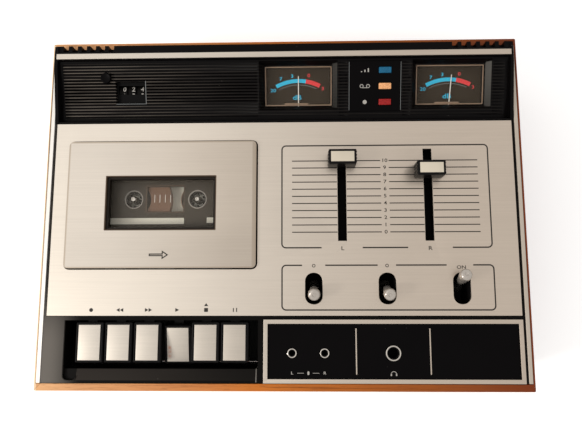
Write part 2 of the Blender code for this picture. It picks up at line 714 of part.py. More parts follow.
def make_base():
    """The base plate with its air slots and thrust post, and the four feet."""
    half_x = HALF_WIDTH - BOARD_THICKNESS - GAP
    half_y = CABINET_DEPTH / 2 - BOARD_THICKNESS - GAP
    base = box_object("base_plate", (-half_x, -half_y, FOOT_HEIGHT), (half_x, half_y, FLOOR), PARTS, STEEL)
    for number in range(BASE_SLOT_COUNT):
        offset = (number - (BASE_SLOT_COUNT - 1) / 2) * BASE_SLOT_PITCH
        place = TRANSFORMER_PLACE[1] - TRANSFORMER_COIL_DEPTH / 2 - BASE_SLOT_PITCH * BASE_SLOT_COUNT / 2 + offset
        cut_box(base, (HALF_WIDTH / 2 - BASE_SLOT_LENGTH / 2, place, FOOT_HEIGHT - OVERRUN),
                (HALF_WIDTH / 2 + BASE_SLOT_LENGTH / 2, place + BASE_SLOT_WIDTH, FLOOR + OVERRUN))
    post_top = FLYWHEEL_TOP - FLYWHEEL_THICKNESS - FLYWHEEL_SHAFT_TAIL - GAP
    post_bottom = FLOOR - BASE_THICKNESS / 2
    join_round(base, (*CAPSTAN_PLACE, (post_top + post_bottom) / 2), THRUST_POST_RADIUS, post_top - post_bottom)
    names = (("front_left", -1, -1), ("front_right", 1, -1), ("back_left", -1, 1), ("back_right", 1, 1))
    for name, side_x, side_y in names:
        place = (side_x * (HALF_WIDTH - FOOT_INSET), side_y * (CABINET_DEPTH / 2 - FOOT_INSET),
                 (FOOT_HEIGHT - GAP) / 2)
        shape = bmesh.new()
        add_round(shape, place, FOOT_RADIUS - FOOT_TAPER, FOOT_HEIGHT - GAP, "Z", ROUND, FOOT_RADIUS)
        shade_round(mesh_object("foot_" + name, shape, PARTS, RUBBER))


def make_moulding():
    """The black top moulding: bed of the faceplate, cassette bay, key well and jack recess."""
    moulding = box_object("top_moulding", (-MOULDING_HALF, MOULDING_FRONT, MOULDING_BOTTOM),
                          (MOULDING_HALF, BRIDGE_FRONT - GAP, TOP), PARTS, BLACK)
    bed = TOP - PLATE_THICKNESS - GAP
    under = MOULDING_BOTTOM - OVERRUN
    bay_half_x = LID_WIDTH / 2 + BAY_MARGIN
    bay_half_y = LID_DEPTH / 2 + BAY_MARGIN
    bay_low = (LID_X - bay_half_x, LID_CENTRE[1] - bay_half_y)
    bay_high = (LID_X + bay_half_x, LID_CENTRE[1] + bay_half_y)
    join_box(moulding, (bay_low[0] - BAY_WALL, bay_low[1] - BAY_WALL, TOP - BAY_DEPTH),
             (bay_high[0] + BAY_WALL, bay_high[1] + BAY_WALL, (bed + MOULDING_BOTTOM) / 2))
    well_wall_low = (WELL_LEFT - WELL_WALL, WELL_FRONT - WELL_WALL, TOP - WELL_WALL_DEPTH)
    join_box(moulding, well_wall_low, (WELL_RIGHT + WELL_WALL, WELL_BACK, (bed + MOULDING_BOTTOM) / 2))
    plate_side = PLATE_WIDTH / 2 + GAP
    cut_box(moulding, (-plate_side, PLATE_FRONT - GAP, bed), (plate_side, BRIDGE_FRONT + OVERRUN, TOP + OVERRUN))
    cut_box(moulding, (*bay_low, TOP - BAY_DEPTH - OVERRUN), (*bay_high, TOP + OVERRUN))
    cut_box(moulding, (bay_low[0] - 2 * BAY_WALL, bay_low[1] - 2 * BAY_WALL, TOP - BAY_DEPTH - OVERRUN),
            (bay_high[0] + 2 * BAY_WALL, bay_low[1] + OVERRUN, TOP - BAY_FRONT_DEPTH))
    cut_round(moulding, (LID_X, HINGE_Y, HINGE_Z), HINGE_PIN_RADIUS + RUNNING_GAP,
              LID_WIDTH + 2 * BAY_MARGIN + 4 * BAY_WALL, "X", SMALL_ROUND)
    cut_box(moulding, (WELL_LEFT, WELL_FRONT, TOP - WELL_WALL_DEPTH - OVERRUN),
            (WELL_RIGHT, WELL_BACK, TOP + OVERRUN))
    cut_box(moulding, (WELL_LEFT, WELL_BACK - OVERRUN, TOP - WELL_WALL_DEPTH - OVERRUN),
            (WELL_RIGHT, WELL_BACK + OVERRUN, MOULDING_BOTTOM))
    lip_back = WELL_FRONT + OVERRUN
    lip = [(WELL_FRONT - LIP_DEPTH, TOP + LIP_DROP), (WELL_FRONT - LIP_DEPTH, TOP),
           (lip_back, TOP - LIP_DROP - LIP_DROP * OVERRUN / LIP_DEPTH), (lip_back, TOP + LIP_DROP)]
    combine(moulding, outline_object("lip_cut", lip, WELL_LEFT + LIP_RECESS_WIDTH, WELL_RIGHT, "YZ", CUTTERS),
            "DIFFERENCE")
    recess = rounded_rectangle((WELL_LEFT + LIP_RECESS_WIDTH / 2, WELL_FRONT - LIP_DEPTH / 2 + OVERRUN),
                               LIP_RECESS_WIDTH, LIP_DEPTH + 2 * OVERRUN, LIP_RECESS_WIDTH / 3)
    cut_outline(moulding, recess, TOP - LIP_DROP, TOP + OVERRUN)
    cut_box(moulding, (JACK_LEFT - GAP, JACK_FRONT - GAP, TOP - JACK_POCKET),
            (JACK_RIGHT + GAP, JACK_BACK + GAP, TOP + OVERRUN))
    cut_box(moulding, (JACK_LEFT + JACK_LEDGE, JACK_FRONT + JACK_LEDGE, under),
            (JACK_RIGHT - JACK_LEDGE, JACK_BACK - JACK_LEDGE, TOP + OVERRUN))
    for place in (SLIDER_LEFT_X, SLIDER_RIGHT_X):
        half_x = SLIDER_SLOT_WIDTH / 2 + SLIDER_SLOT_CLEARANCE
        half_y = SLIDER_SLOT_LENGTH / 2 + SLIDER_SLOT_CLEARANCE
        slot_y = PLATE_Y + SLIDER_SLOT_Y
        cut_box(moulding, (place - half_x, slot_y - half_y, under), (place + half_x, slot_y + half_y, TOP + OVERRUN))
    for place in TOGGLE_PLACES:
        half_x = TOGGLE_SLOT_WIDTH / 2 + SLIDER_SLOT_CLEARANCE
        half_y = TOGGLE_SLOT_LENGTH / 2 + SLIDER_SLOT_CLEARANCE
        slot_y = PLATE_Y + TOGGLE_SLOT_Y
        cut_box(moulding, (place - half_x, slot_y - half_y, under), (place + half_x, slot_y + half_y, TOP + OVERRUN))


def make_faceplate():
    """The aluminium faceplate with its lid opening and slots."""
    plate = box_object("faceplate", (-PLATE_WIDTH / 2, PLATE_FRONT, TOP - PLATE_THICKNESS),
                       (PLATE_WIDTH / 2, PLATE_BACK, TOP), PARTS, ALUMINIUM)
    low = TOP - PLATE_THICKNESS - OVERRUN
    high = TOP + OVERRUN
    opening = rounded_rectangle(LID_CENTRE, LID_WIDTH + 2 * LID_GAP, LID_DEPTH + 2 * LID_GAP, LID_CORNER + LID_GAP)
    cut_outline(plate, opening, low, high)
    for place in (SLIDER_LEFT_X, SLIDER_RIGHT_X):
        cut_box(plate, (place - SLIDER_SLOT_WIDTH / 2, PLATE_Y + SLIDER_SLOT_Y - SLIDER_SLOT_LENGTH / 2, low),
                (place + SLIDER_SLOT_WIDTH / 2, PLATE_Y + SLIDER_SLOT_Y + SLIDER_SLOT_LENGTH / 2, high))
    for place in TOGGLE_PLACES:
        slot = rounded_rectangle((place, PLATE_Y + TOGGLE_SLOT_Y), TOGGLE_SLOT_WIDTH, TOGGLE_SLOT_LENGTH,
                                 TOGGLE_SLOT_WIDTH / 2 - GAP, SLOT_END_STEPS)
        cut_outline(plate, slot, low, high)


def make_lid():
    """The lid: aluminium plate, black frame with hinge pins, and window pane."""
    lid = outline_object("lid_plate", rounded_rectangle(LID_CENTRE, LID_WIDTH, LID_DEPTH, LID_CORNER),
                         TOP + LID_PROUD - LID_SHEET, TOP + LID_PROUD, "XY", PARTS, ALUMINIUM)
    soften(lid, LID_EDGE)
    window = (WINDOW_X, PLATE_Y + WINDOW_Y)
    half_x = WINDOW_WIDTH / 2
    half_y = WINDOW_DEPTH / 2
    cut_box(lid, (window[0] - half_x, window[1] - half_y, TOP - OVERRUN),
            (window[0] + half_x, window[1] + half_y, TOP + LID_PROUD + OVERRUN))
    frame_top = TOP + LID_PROUD - LID_SHEET - GAP
    frame_bottom = frame_top - LID_FRAME_THICKNESS
    frame_size = (LID_WIDTH - 2 * LID_FRAME_INSET, LID_DEPTH - 2 * LID_FRAME_INSET)
    frame = outline_object("lid_frame", rounded_rectangle(LID_CENTRE, *frame_size, LID_CORNER),
                           frame_bottom, frame_top, "XY", PARTS, BLACK)
    half_x -= WINDOW_BORDER
    half_y -= WINDOW_BORDER
    for side in (-1, 1):
        inner = LID_X + side * (frame_size[0] / 2 - HINGE_PIN_RADIUS)
        outer = LID_X + side * (frame_size[0] / 2 + HINGE_PIN_LENGTH)
        join_round(frame, ((inner + outer) / 2, HINGE_Y, HINGE_Z), HINGE_PIN_RADIUS, abs(outer - inner), "X",
                   SMALL_ROUND)
    cut_box(frame, (window[0] - half_x, window[1] - half_y, frame_bottom - OVERRUN),
            (window[0] + half_x, window[1] + half_y, frame_top + OVERRUN))
    pane_half_x = half_x + WINDOW_SEAT
    pane_half_y = half_y + WINDOW_SEAT
    pane_top = frame_bottom - GAP
    box_object("lid_window", (window[0] - pane_half_x, window[1] - pane_half_y, pane_top - PANE_THICKNESS),
               (window[0] + pane_half_x, window[1] + pane_half_y, pane_top), PARTS, CLEAR)


def make_cassette():
    """The cassette in the bay: hollow shell, and two hubs with their tape."""
    back = CASSETTE_FRONT + CASSETTE_DEPTH
    half_x = CASSETTE_WIDTH / 2
    shell = box_object("cassette_shell", (HUB_X - half_x, CASSETTE_FRONT, CASSETTE_BOTTOM_Z),
                       (HUB_X + half_x, back, CASSETTE_TOP_Z), PARTS, SMOKE)
    thick_half = CASSETTE_THICK_WIDTH / 2
    join_box(shell, (HUB_X - thick_half, CASSETTE_FRONT, CASSETTE_BOTTOM_Z - CASSETTE_THICK_EXTRA),
             (HUB_X + thick_half, CASSETTE_FRONT + CASSETTE_THICK_DEPTH, CASSETTE_TOP_Z + CASSETTE_THICK_EXTRA))
    cut_box(shell, (HUB_X - half_x + CASSETTE_WALL, CASSETTE_FRONT + CASSETTE_WALL, CASSETTE_BOTTOM_Z + CASSETTE_WALL),
            (HUB_X + half_x - CASSETTE_WALL, back - CASSETTE_WALL, CASSETTE_TOP_Z - CASSETTE_WALL))
    middle_z = (CASSETTE_TOP_Z + CASSETTE_BOTTOM_Z) / 2
    for place in SPINDLE_PLACES.values():
        cut_round(shell, (place, SPINDLE_Y, middle_z), HUB_HOLE_RADIUS, 2 * CASSETTE_THICKNESS)
    slots = ((0, HEAD_SLOT_WIDTH), (-SIDE_SLOT_X, SIDE_SLOT_WIDTH), (SIDE_SLOT_X, SIDE_SLOT_WIDTH))
    slot_half = ROLLER_HEIGHT / 2 + GAP
    for offset, width in slots:
        place = HUB_X + offset
        cut_box(shell, (place - width / 2, CASSETTE_FRONT - OVERRUN, middle_z - slot_half),
                (place + width / 2, CASSETTE_FRONT + HEAD_SLOT_DEPTH, middle_z + slot_half))
    cut_round(shell, (*CAPSTAN_PLACE, middle_z), CAPSTAN_HOLE_RADIUS, 4 * CASSETTE_THICKNESS, "Z", SMALL_ROUND)
    cut_box(shell, (HUB_X - CASSETTE_WINDOW_WIDTH / 2, SPINDLE_Y - CASSETTE_WINDOW_DEPTH / 2, middle_z),
            (HUB_X + CASSETTE_WINDOW_WIDTH / 2, SPINDLE_Y + CASSETTE_WINDOW_DEPTH / 2, CASSETTE_TOP_Z + OVERRUN))
    half_height = CASSETTE_THICKNESS / 2 - CASSETTE_WALL - GAP
    for name, side, tape in (("cassette_hub_left", "supply", TAPE_RADIUS_LEFT),
                             ("cassette_hub_right", "takeup", TAPE_RADIUS_RIGHT)):
        place = (SPINDLE_PLACES[side], SPINDLE_Y, middle_z)
        shape = bmesh.new()
        add_round(shape, place, tape, 2 * half_height)
        hub = mesh_object(name, shape, PARTS, TAPE)
        cut_round(hub, place, HUB_BORE_RADIUS, 4 * half_height)
        for number in range(HUB_TOOTH_COUNT):
            angle = (number + 1 / 2) * 2 * math.pi / HUB_TOOTH_COUNT
            reach = HUB_BORE_RADIUS - HUB_TOOTH / 2 + WELD
            spot = (place[0] + reach * math.cos(angle), place[1] + reach * math.sin(angle))
            join_box(hub, (spot[0] - HUB_TOOTH / 2, spot[1] - HUB_TOOTH / 2, middle_z - half_height / 2),
                     (spot[0] + HUB_TOOTH / 2, spot[1] + HUB_TOOTH / 2, middle_z + half_height / 2))


def slope_point(along, depth):
    """Return the Y and Z of a point a way up the sloped panel and a depth under it."""
    spot = PANEL_TURN @ Vector((0, along, -depth))
    return (spot.y, spot.z)


def bridge_outline():
    """Return the section of the bridge in Y and Z."""
    ridge_y = PANEL_ORIGIN.y + PANEL_RUN
    ridge_top = TOP + BRIDGE_HEIGHT
    inner_back = BRIDGE_BACK - BRIDGE_WALL
    return [(BRIDGE_FRONT, TOP - PANEL_FRONT_DROP - BRIDGE_WALL), (BRIDGE_FRONT, TOP),
            (BRIDGE_FRONT + BRIDGE_WALL / 2, TOP), slope_point(0, 0), slope_point(PANEL_LENGTH, 0),
            (ridge_y, ridge_top), (BRIDGE_BACK, ridge_top), (BRIDGE_BACK, MOULDING_BOTTOM),
            (inner_back, MOULDING_BOTTOM), (inner_back, ridge_top - BRIDGE_WALL),
            (ridge_y + BRIDGE_WALL, ridge_top - BRIDGE_WALL), slope_point(PANEL_LENGTH, BRIDGE_WALL + RIB_HEIGHT),
            slope_point(0, BRIDGE_WALL + RIB_HEIGHT)]


def groove_outline():
    """Return the section of the cutter that leaves ribs on the slope: a comb with its teeth down."""
    last = RIB_START + RIB_COUNT * RIB_PITCH
    points = [slope_point(last, -OVERRUN), slope_point(RIB_START - RIB_PITCH, -OVERRUN)]
    for number in range(RIB_COUNT + 1):
        middle = RIB_START - RIB_PITCH / 2 + number * RIB_PITCH
        points.append(slope_point(middle - GROOVE_WIDTH / 2, -RIB_HEIGHT / 2))
        points.append(slope_point(middle, RIB_HEIGHT))
        points.append(slope_point(middle + GROOVE_WIDTH / 2, -RIB_HEIGHT / 2))
    return points


def make_bridge():
    """The meter bridge: ribbed slope between two cheeks, mouths of the meters, and vents."""
    inner = MOULDING_HALF - CHEEK_WIDTH
    bridge = outline_object("meter_bridge", bridge_outline(), -inner - CHEEK_WIDTH / 2, inner + CHEEK_WIDTH / 2,
                            "YZ", PARTS, BLACK)
    ridge_top = TOP + BRIDGE_HEIGHT
    cheek_bottom = TOP - BRIDGE_NOTCH + GAP
    cheek_back = CABINET_DEPTH / 2 - BOARD_THICKNESS
    cheek = [(BRIDGE_FRONT, cheek_bottom), (BRIDGE_FRONT, TOP + GAP),
             (PANEL_ORIGIN.y + PANEL_RUN - STRIP_WIDTH, ridge_top + GAP), (BRIDGE_BACK - GAP, ridge_top + GAP),
             (BRIDGE_BACK - GAP, MOULDING_BOTTOM + GAP), (cheek_back, MOULDING_BOTTOM + GAP),
             (cheek_back, cheek_bottom)]
    for side in (-1, 1):
        edges = sorted((side * inner, side * MOULDING_HALF))
        combine(bridge, outline_object("cheek", cheek, *edges, "YZ", CUTTERS), "UNION")
    fields = ((RIB_SIDE_MARGIN - inner, METER_LEFT_X - METER_SURROUND / 2),
              (METER_LEFT_X + METER_SURROUND / 2, LAMP_PLATE_X - LAMP_SURROUND / 2),
              (LAMP_PLATE_X + LAMP_SURROUND / 2, METER_RIGHT_X - METER_SURROUND / 2),
              (METER_RIGHT_X + METER_SURROUND / 2, inner - RIB_SIDE_MARGIN))
    for low, high in fields:
        combine(bridge, outline_object("rib_grooves", groove_outline(), low, high, "YZ", CUTTERS), "DIFFERENCE")
    for place in (METER_LEFT_X, METER_RIGHT_X):
        boss = slope_box("meter_boss", place, METER_ALONG, METER_MOUTH_WIDTH + METER_BOSS_MARGIN,
                         METER_MOUTH_DEPTH + METER_BOSS_MARGIN, BRIDGE_WALL, METER_BEVEL_DEPTH,
                         CUTTERS)
        combine(bridge, boss, "UNION")
        combine(bridge, meter_mouth(place), "DIFFERENCE")
    slope_cut(bridge, LAMP_PLATE_X, LAMP_PLATE_ALONG, LAMP_PLATE_WIDTH + 2 * GAP, LAMP_PLATE_DEPTH + 2 * GAP,
              -OVERRUN, LAMP_PLATE_THICKNESS + GAP)
    through = METER_BEVEL_DEPTH + OVERRUN
    slope_cut(bridge, LAMP_X, LAMP_PLATE_ALONG, LAMP_WIDTH + 2 * GAP, 2 * LAMP_PITCH + LAMP_DEPTH + 2 * GAP,
              -OVERRUN, through)
    slope_cut(bridge, COUNTER_X, COUNTER_ALONG, COUNTER_WINDOW_WIDTH, COUNTER_WINDOW_DEPTH, -OVERRUN, through)
    shape = bmesh.new()
    add_round(shape, (RESET_X, RESET_ALONG, 0), RESET_RADIUS + GAP, 2 * through, "Z", SMALL_ROUND)
    hole = mesh_object("reset_hole", shape, CUTTERS)
    on_slope(hole)
    combine(bridge, hole, "DIFFERENCE")
    for side in (-1, 1):
        for number in range(VENT_COUNT):
            place = side * (MOULDING_HALF - VENT_FROM_END - number * VENT_PITCH)
            cut_box(bridge, (place - VENT_WIDTH / 2, BRIDGE_BACK - VENT_DEPTH, TOP + TRIM_PROUD),
                    (place + VENT_WIDTH / 2, BRIDGE_BACK + OVERRUN, ridge_top + OVERRUN))
    strip_half = MOULDING_HALF - STRIP_END
    strip_front = PANEL_ORIGIN.y + PANEL_RUN + RIDGE_STEP / 2
    box_object("bridge_strip", (-strip_half, strip_front, ridge_top + GAP),
               (strip_half, strip_front + STRIP_WIDTH, ridge_top + GAP + STRIP_THICKNESS), PARTS, ALUMINIUM)


def meter_mouth(place):
    """Return the tapered cutter of a meter's bevelled mouth."""
    shape = bmesh.new()
    reach = METER_BEVEL_DEPTH + RIB_HEIGHT
    grow = (METER_MOUTH_WIDTH - METER_FACE_WIDTH) * RIB_HEIGHT / METER_BEVEL_DEPTH
    half_x = (METER_MOUTH_WIDTH + grow) / 2
    half_y = (METER_MOUTH_DEPTH + grow) / 2
    add_box(shape, (-half_x, -half_y, -reach), (half_x, half_y, RIB_HEIGHT))
    for spot in shape.verts:
        if spot.co.z < 0:
            spot.co.x *= METER_FACE_WIDTH / 2 / half_x
            spot.co.y *= METER_FACE_DEPTH / 2 / half_y
    bmesh.ops.translate(shape, vec=(place, METER_ALONG, 0), verts=shape.verts)
    mouth = mesh_object("meter_mouth", shape, CUTTERS)
    on_slope(mouth)
    return mouth


def make_meter(side, place, tilt):
    """One level meter: case with its scale, glass, and pointer on its pivot."""
    name = "meter_" + side
    middle = METER_ALONG - METER_CASE_SHIFT
    case = slope_box(name + "_case", place, middle, METER_CASE_WIDTH, METER_CASE_DEPTH, METER_CASE_TOP,
                     METER_CASE_TOP + METER_CASE_HEIGHT, PARTS, SCALE_FACE)
    glass_top = METER_CASE_TOP + METER_GLASS_THICKNESS + GAP
    slope_cut(case, place, METER_ALONG, METER_FACE_WIDTH + 2 * METER_LEDGE, METER_FACE_DEPTH + 2 * METER_LEDGE,
              METER_CASE_TOP - OVERRUN, glass_top)
    slope_cut(case, place, METER_ALONG, METER_FACE_WIDTH - 2 * METER_LEDGE, METER_FACE_DEPTH - 2 * METER_LEDGE,
              METER_CASE_TOP - OVERRUN, METER_FLOOR)
    pocket = METER_ALONG - NEEDLE_POCKET_REACH / 2
    slope_cut(case, place, pocket, NEEDLE_POCKET_WIDTH, NEEDLE_POCKET_REACH - METER_LEDGE, METER_CASE_TOP - OVERRUN,
              METER_FLOOR)
    pivot = Vector((place, METER_ALONG - NEEDLE_PIVOT_BELOW, 0))
    shape = bmesh.new()
    pin_top = NEEDLE_LEVEL - NEEDLE_THICKNESS
    pin_bottom = METER_FLOOR + NEEDLE_THICKNESS
    add_round(shape, (pivot.x, pivot.y, -(pin_top + pin_bottom) / 2), NEEDLE_PIN_RADIUS, pin_bottom - pin_top, "Z",
              SMALL_ROUND)
    pin = mesh_object(name + "_pin", shape, CUTTERS)
    on_slope(pin)
    combine(case, pin, "UNION")
    glass_inset = 2 * (METER_LEDGE - GAP)
    slope_box(name + "_glass", place, METER_ALONG, METER_FACE_WIDTH + glass_inset, METER_FACE_DEPTH + glass_inset,
              METER_CASE_TOP, METER_CASE_TOP + METER_GLASS_THICKNESS, PARTS, CLEAR)
    shape = bmesh.new()
    add_round(shape, (0, 0, 0), NEEDLE_HUB_RADIUS, NEEDLE_THICKNESS, "Z", SMALL_ROUND)
    needle = mesh_object(name + "_needle", shape, PARTS, CREAM)
    needle.matrix_world = (PANEL_TURN @ Matrix.Translation((pivot.x, pivot.y, -NEEDLE_LEVEL))
                           @ Matrix.Rotation(tilt, 4, "Z"))
    pointer = box_object(name + "_pointer", (-NEEDLE_WIDTH / 2, NEEDLE_HUB_RADIUS / 2, -NEEDLE_THICKNESS / 3),
                         (NEEDLE_WIDTH / 2, NEEDLE_RADIUS_LENGTH, NEEDLE_THICKNESS / 3), CUTTERS)
    pointer.matrix_world = needle.matrix_world.copy()
    combine(needle, pointer, "UNION")
    shape = bmesh.new()
    add_round(shape, (0, 0, 0), NEEDLE_PIN_RADIUS + RUNNING_GAP, 4 * NEEDLE_THICKNESS, "Z", SMALL_ROUND)
    bore = mesh_object(name + "_bore", shape, CUTTERS)
    bore.matrix_world = needle.matrix_world.copy()
    combine(needle, bore, "DIFFERENCE")


def make_lamps():
    """The lamp plate, and one moulding behind it whose three lenses stand in its holes."""
    plate = slope_box("lamp_plate", LAMP_PLATE_X, LAMP_PLATE_ALONG, LAMP_PLATE_WIDTH, LAMP_PLATE_DEPTH, 0,
                      LAMP_PLATE_THICKNESS, PARTS, BLACK)
    carrier_top = LAMP_PLATE_THICKNESS + GAP
    lenses = slope_box("lamp_lenses", LAMP_X, LAMP_PLATE_ALONG, LAMP_WIDTH, 2 * LAMP_PITCH + LAMP_DEPTH, carrier_top,
                       carrier_top + LAMP_CARRIER_THICKNESS, PARTS, AMBER)
    for number in range(LAMP_COUNT):
        along = LAMP_PLATE_ALONG + (1 - number) * LAMP_PITCH
        slope_cut(plate, LAMP_X, along, LAMP_WIDTH, LAMP_DEPTH, -OVERRUN, LAMP_PLATE_THICKNESS + OVERRUN)
        lens = slope_box("lamp_lens", LAMP_X, along, LAMP_WIDTH - 2 * GAP, LAMP_DEPTH - 2 * GAP, -GAP,
                         carrier_top + LAMP_CARRIER_THICKNESS / 2, CUTTERS)
        combine(lenses, lens, "UNION")


def make_counter():
    """The tape counter: open frame with its axle, three wheels, and the reset button."""
    case_width = COUNTER_WINDOW_WIDTH + COUNTER_CASE_MARGIN
    case_depth = COUNTER_WINDOW_DEPTH + COUNTER_CASE_MARGIN
    under = BRIDGE_WALL + RIB_HEIGHT + GAP
    case = slope_box("counter_frame", COUNTER_X, COUNTER_ALONG, case_width, case_depth, under,
                     under + COUNTER_CASE_HEIGHT, PARTS, BLACK)
    slope_cut(case, COUNTER_X, COUNTER_ALONG, COUNTER_WINDOW_WIDTH - GAP, case_depth - COUNTER_CASE_MARGIN / 2,
              under - OVERRUN, under + COUNTER_CASE_HEIGHT - COUNTER_CASE_MARGIN / 3)
    centre = PANEL_TURN @ Vector((COUNTER_X, COUNTER_ALONG, -COUNTER_DROP))
    join_round(case, centre, COUNTER_AXLE_RADIUS, case_width - COUNTER_CASE_MARGIN / 3, "X", SMALL_ROUND)
    for number, name in enumerate(("hundreds", "tens", "units")):
        shape = bmesh.new()
        place = centre + Vector(((number - 1) * COUNTER_WHEEL_PITCH, 0, 0))
        add_round(shape, (0, 0, 0), COUNTER_WHEEL_RADIUS, COUNTER_WHEEL_WIDTH, "X")
        wheel = mesh_object("counter_wheel_" + name, shape, PARTS, BLACK)
        wheel.location = place
        cut_round(wheel, place, COUNTER_AXLE_RADIUS + RUNNING_GAP, 2 * COUNTER_WHEEL_WIDTH, "X", SMALL_ROUND)
        shade_round(wheel)
    shape = bmesh.new()
    middle = RESET_PROUD - RESET_LENGTH / 2
    add_round(shape, (RESET_X, RESET_ALONG, middle), RESET_RADIUS, RESET_LENGTH, "Z")
    button = mesh_object("counter_reset_button", shape, PARTS, BLACK)
    on_slope(button)
    shade_round(button)


def make_keys():
    """Six lever keys, each with its bright plate, on one shaft."""
    names = ("key_record", "key_rewind", "key_forward", "key_play", "key_stop", "key_pause")
    centre_back = PLATE_FRONT - WELL_BACK_RAIL - KEY_BACK_GAP
    for number, name in enumerate(names):
        place = KEY_FIRST_X + number * KEY_PITCH
        drop = KEY_TOP - KEY_SHAFT_Z
        back = centre_back - KEY_SHAFT_Y
        front = back - KEY_DEPTH
        body = box_object(name, (-KEY_WIDTH / 2, front, drop - KEY_HEIGHT), (KEY_WIDTH / 2, back, drop), PARTS,
                          BLACK, KEY_EDGE, 1)
        middle_y = (front + back) / 2
        press = KEY_PRESS if name == "key_play" else 0
        pose = Matrix.Translation((place, KEY_SHAFT_Y, KEY_SHAFT_Z)) @ Matrix.Rotation(press, 4, "X")
        body.matrix_world = pose
        pocket = box_object(name + "_pocket",
                            (-KEY_PLATE_WIDTH / 2 - GAP, middle_y - KEY_PLATE_DEPTH / 2 - GAP,
                             drop - KEY_PLATE_THICKNESS),
                            (KEY_PLATE_WIDTH / 2 + GAP, middle_y + KEY_PLATE_DEPTH / 2 + GAP, drop + OVERRUN), CUTTERS)
        arm_low = drop - KEY_HEIGHT - KEY_ARM_THICKNESS / 2
        arm = box_object(name + "_arm", (-KEY_ARM_WIDTH / 2, back - KEY_HEIGHT, arm_low),
                         (KEY_ARM_WIDTH / 2, 0, arm_low + KEY_ARM_THICKNESS), CUTTERS)
        shape = bmesh.new()
        add_round(shape, (0, 0, 0), KEY_BOSS_RADIUS, KEY_BOSS_WIDTH, "X", SMALL_ROUND)
        boss = mesh_object(name + "_boss", shape, CUTTERS)
        shape = bmesh.new()
        add_round(shape, (0, 0, 0), KEY_SHAFT_RADIUS + RUNNING_GAP, 2 * KEY_BOSS_WIDTH, "X", SMALL_ROUND)
        bore = mesh_object(name + "_bore", shape, CUTTERS)
        plate_top = drop + KEY_PLATE_PROUD
        plate = box_object(name + "_plate",
                           (-KEY_PLATE_WIDTH / 2, middle_y - KEY_PLATE_DEPTH / 2,
                            plate_top - 2 * KEY_PLATE_THICKNESS),
                           (KEY_PLATE_WIDTH / 2, middle_y + KEY_PLATE_DEPTH / 2, plate_top), CUTTERS)
        for tool, change in ((pocket, "DIFFERENCE"), (arm, "UNION"), (boss, "UNION"), (bore, "DIFFERENCE"),
                             (plate, "UNION")):
            tool.matrix_world = pose
            combine(body, tool, change)
    left = WELL_LEFT - SHAFT_EAR_THICKNESS / 2
    right = WELL_RIGHT + SHAFT_EAR_THICKNESS / 2
    shape = bmesh.new()
    add_round(shape, ((left + right) / 2, KEY_SHAFT_Y, KEY_SHAFT_Z), KEY_SHAFT_RADIUS,
              right - left, "X", SMALL_ROUND)
    shade_round(mesh_object("key_shaft", shape, PARTS, STEEL))


def make_jacks():
    """The jack panel: black plate, bright frame with dividers, and three sockets."""
    top = TOP - JACK_POCKET + GAP + JACK_PLATE_THICKNESS
    low = (JACK_LEFT, JACK_FRONT)
    high = (JACK_RIGHT, JACK_BACK)
    plate = box_object("jack_plate", (*low, top - JACK_PLATE_THICKNESS), (*high, top), PARTS, BLACK)
    line_y = JACK_BACK - JACK_LINE + JACK_BOTTOM
    frame_low = top + GAP
    frame_high = frame_low + JACK_FRAME_THICKNESS
    frame = box_object("jack_frame", (*low, frame_low), (*high, frame_high), PARTS, ALUMINIUM)
    cut_box(frame, (low[0] + JACK_FRAME_WIDTH, low[1] + JACK_FRAME_WIDTH, frame_low - OVERRUN),
            (high[0] - JACK_FRAME_WIDTH, high[1] - JACK_FRAME_WIDTH, frame_high + OVERRUN))
    middle_y = (low[1] + high[1]) / 2
    for place in DIVIDER_PLACES:
        join_box(plate, (place - DIVIDER_WIDTH / 2, middle_y - DIVIDER_LENGTH / 2, top - JACK_PLATE_THICKNESS / 2),
                 (place + DIVIDER_WIDTH / 2, middle_y + DIVIDER_LENGTH / 2, top + JACK_FRAME_THICKNESS / 2))
    sockets = [(place, MIC_RING_RADIUS, MIC_HOLE_RADIUS, MIC_BODY_RADIUS, MIC_BODY_LENGTH) for place in MIC_PLACES]
    sockets.append((PHONES_PLACE, PHONES_RING_RADIUS, PHONES_HOLE_RADIUS, PHONES_BODY_RADIUS, PHONES_BODY_LENGTH))
    body_top = MOULDING_BOTTOM - GAP
    ring_top = top + JACK_RING_PROUD
    jacks = box_object("jack_sockets",
                       (MIC_PLACES[0] - MIC_BODY_RADIUS, line_y - MIC_BODY_RADIUS, body_top - JACK_CARRIER_THICKNESS),
                       (PHONES_PLACE + PHONES_BODY_RADIUS, line_y + MIC_BODY_RADIUS, body_top), PARTS, BRIGHT)
    for place, ring, hole, body, length in sockets:
        cut_round(plate, (place, line_y, top), ring + GAP, 4 * JACK_PLATE_THICKNESS)
        inside = JACK_CARRIER_THICKNESS / 2
        join_round(jacks, (place, line_y, body_top - (inside + length) / 2), body, length - inside)
        join_round(jacks, (place, line_y, (ring_top + body_top - inside) / 2), ring, ring_top - body_top + inside)
        floor = body_top - length + OVERRUN
        cut_round(jacks, (place, line_y, (floor + ring_top + OVERRUN) / 2), hole, ring_top + OVERRUN - floor, "Z",
                  SMALL_ROUND)
    shade_round(jacks)


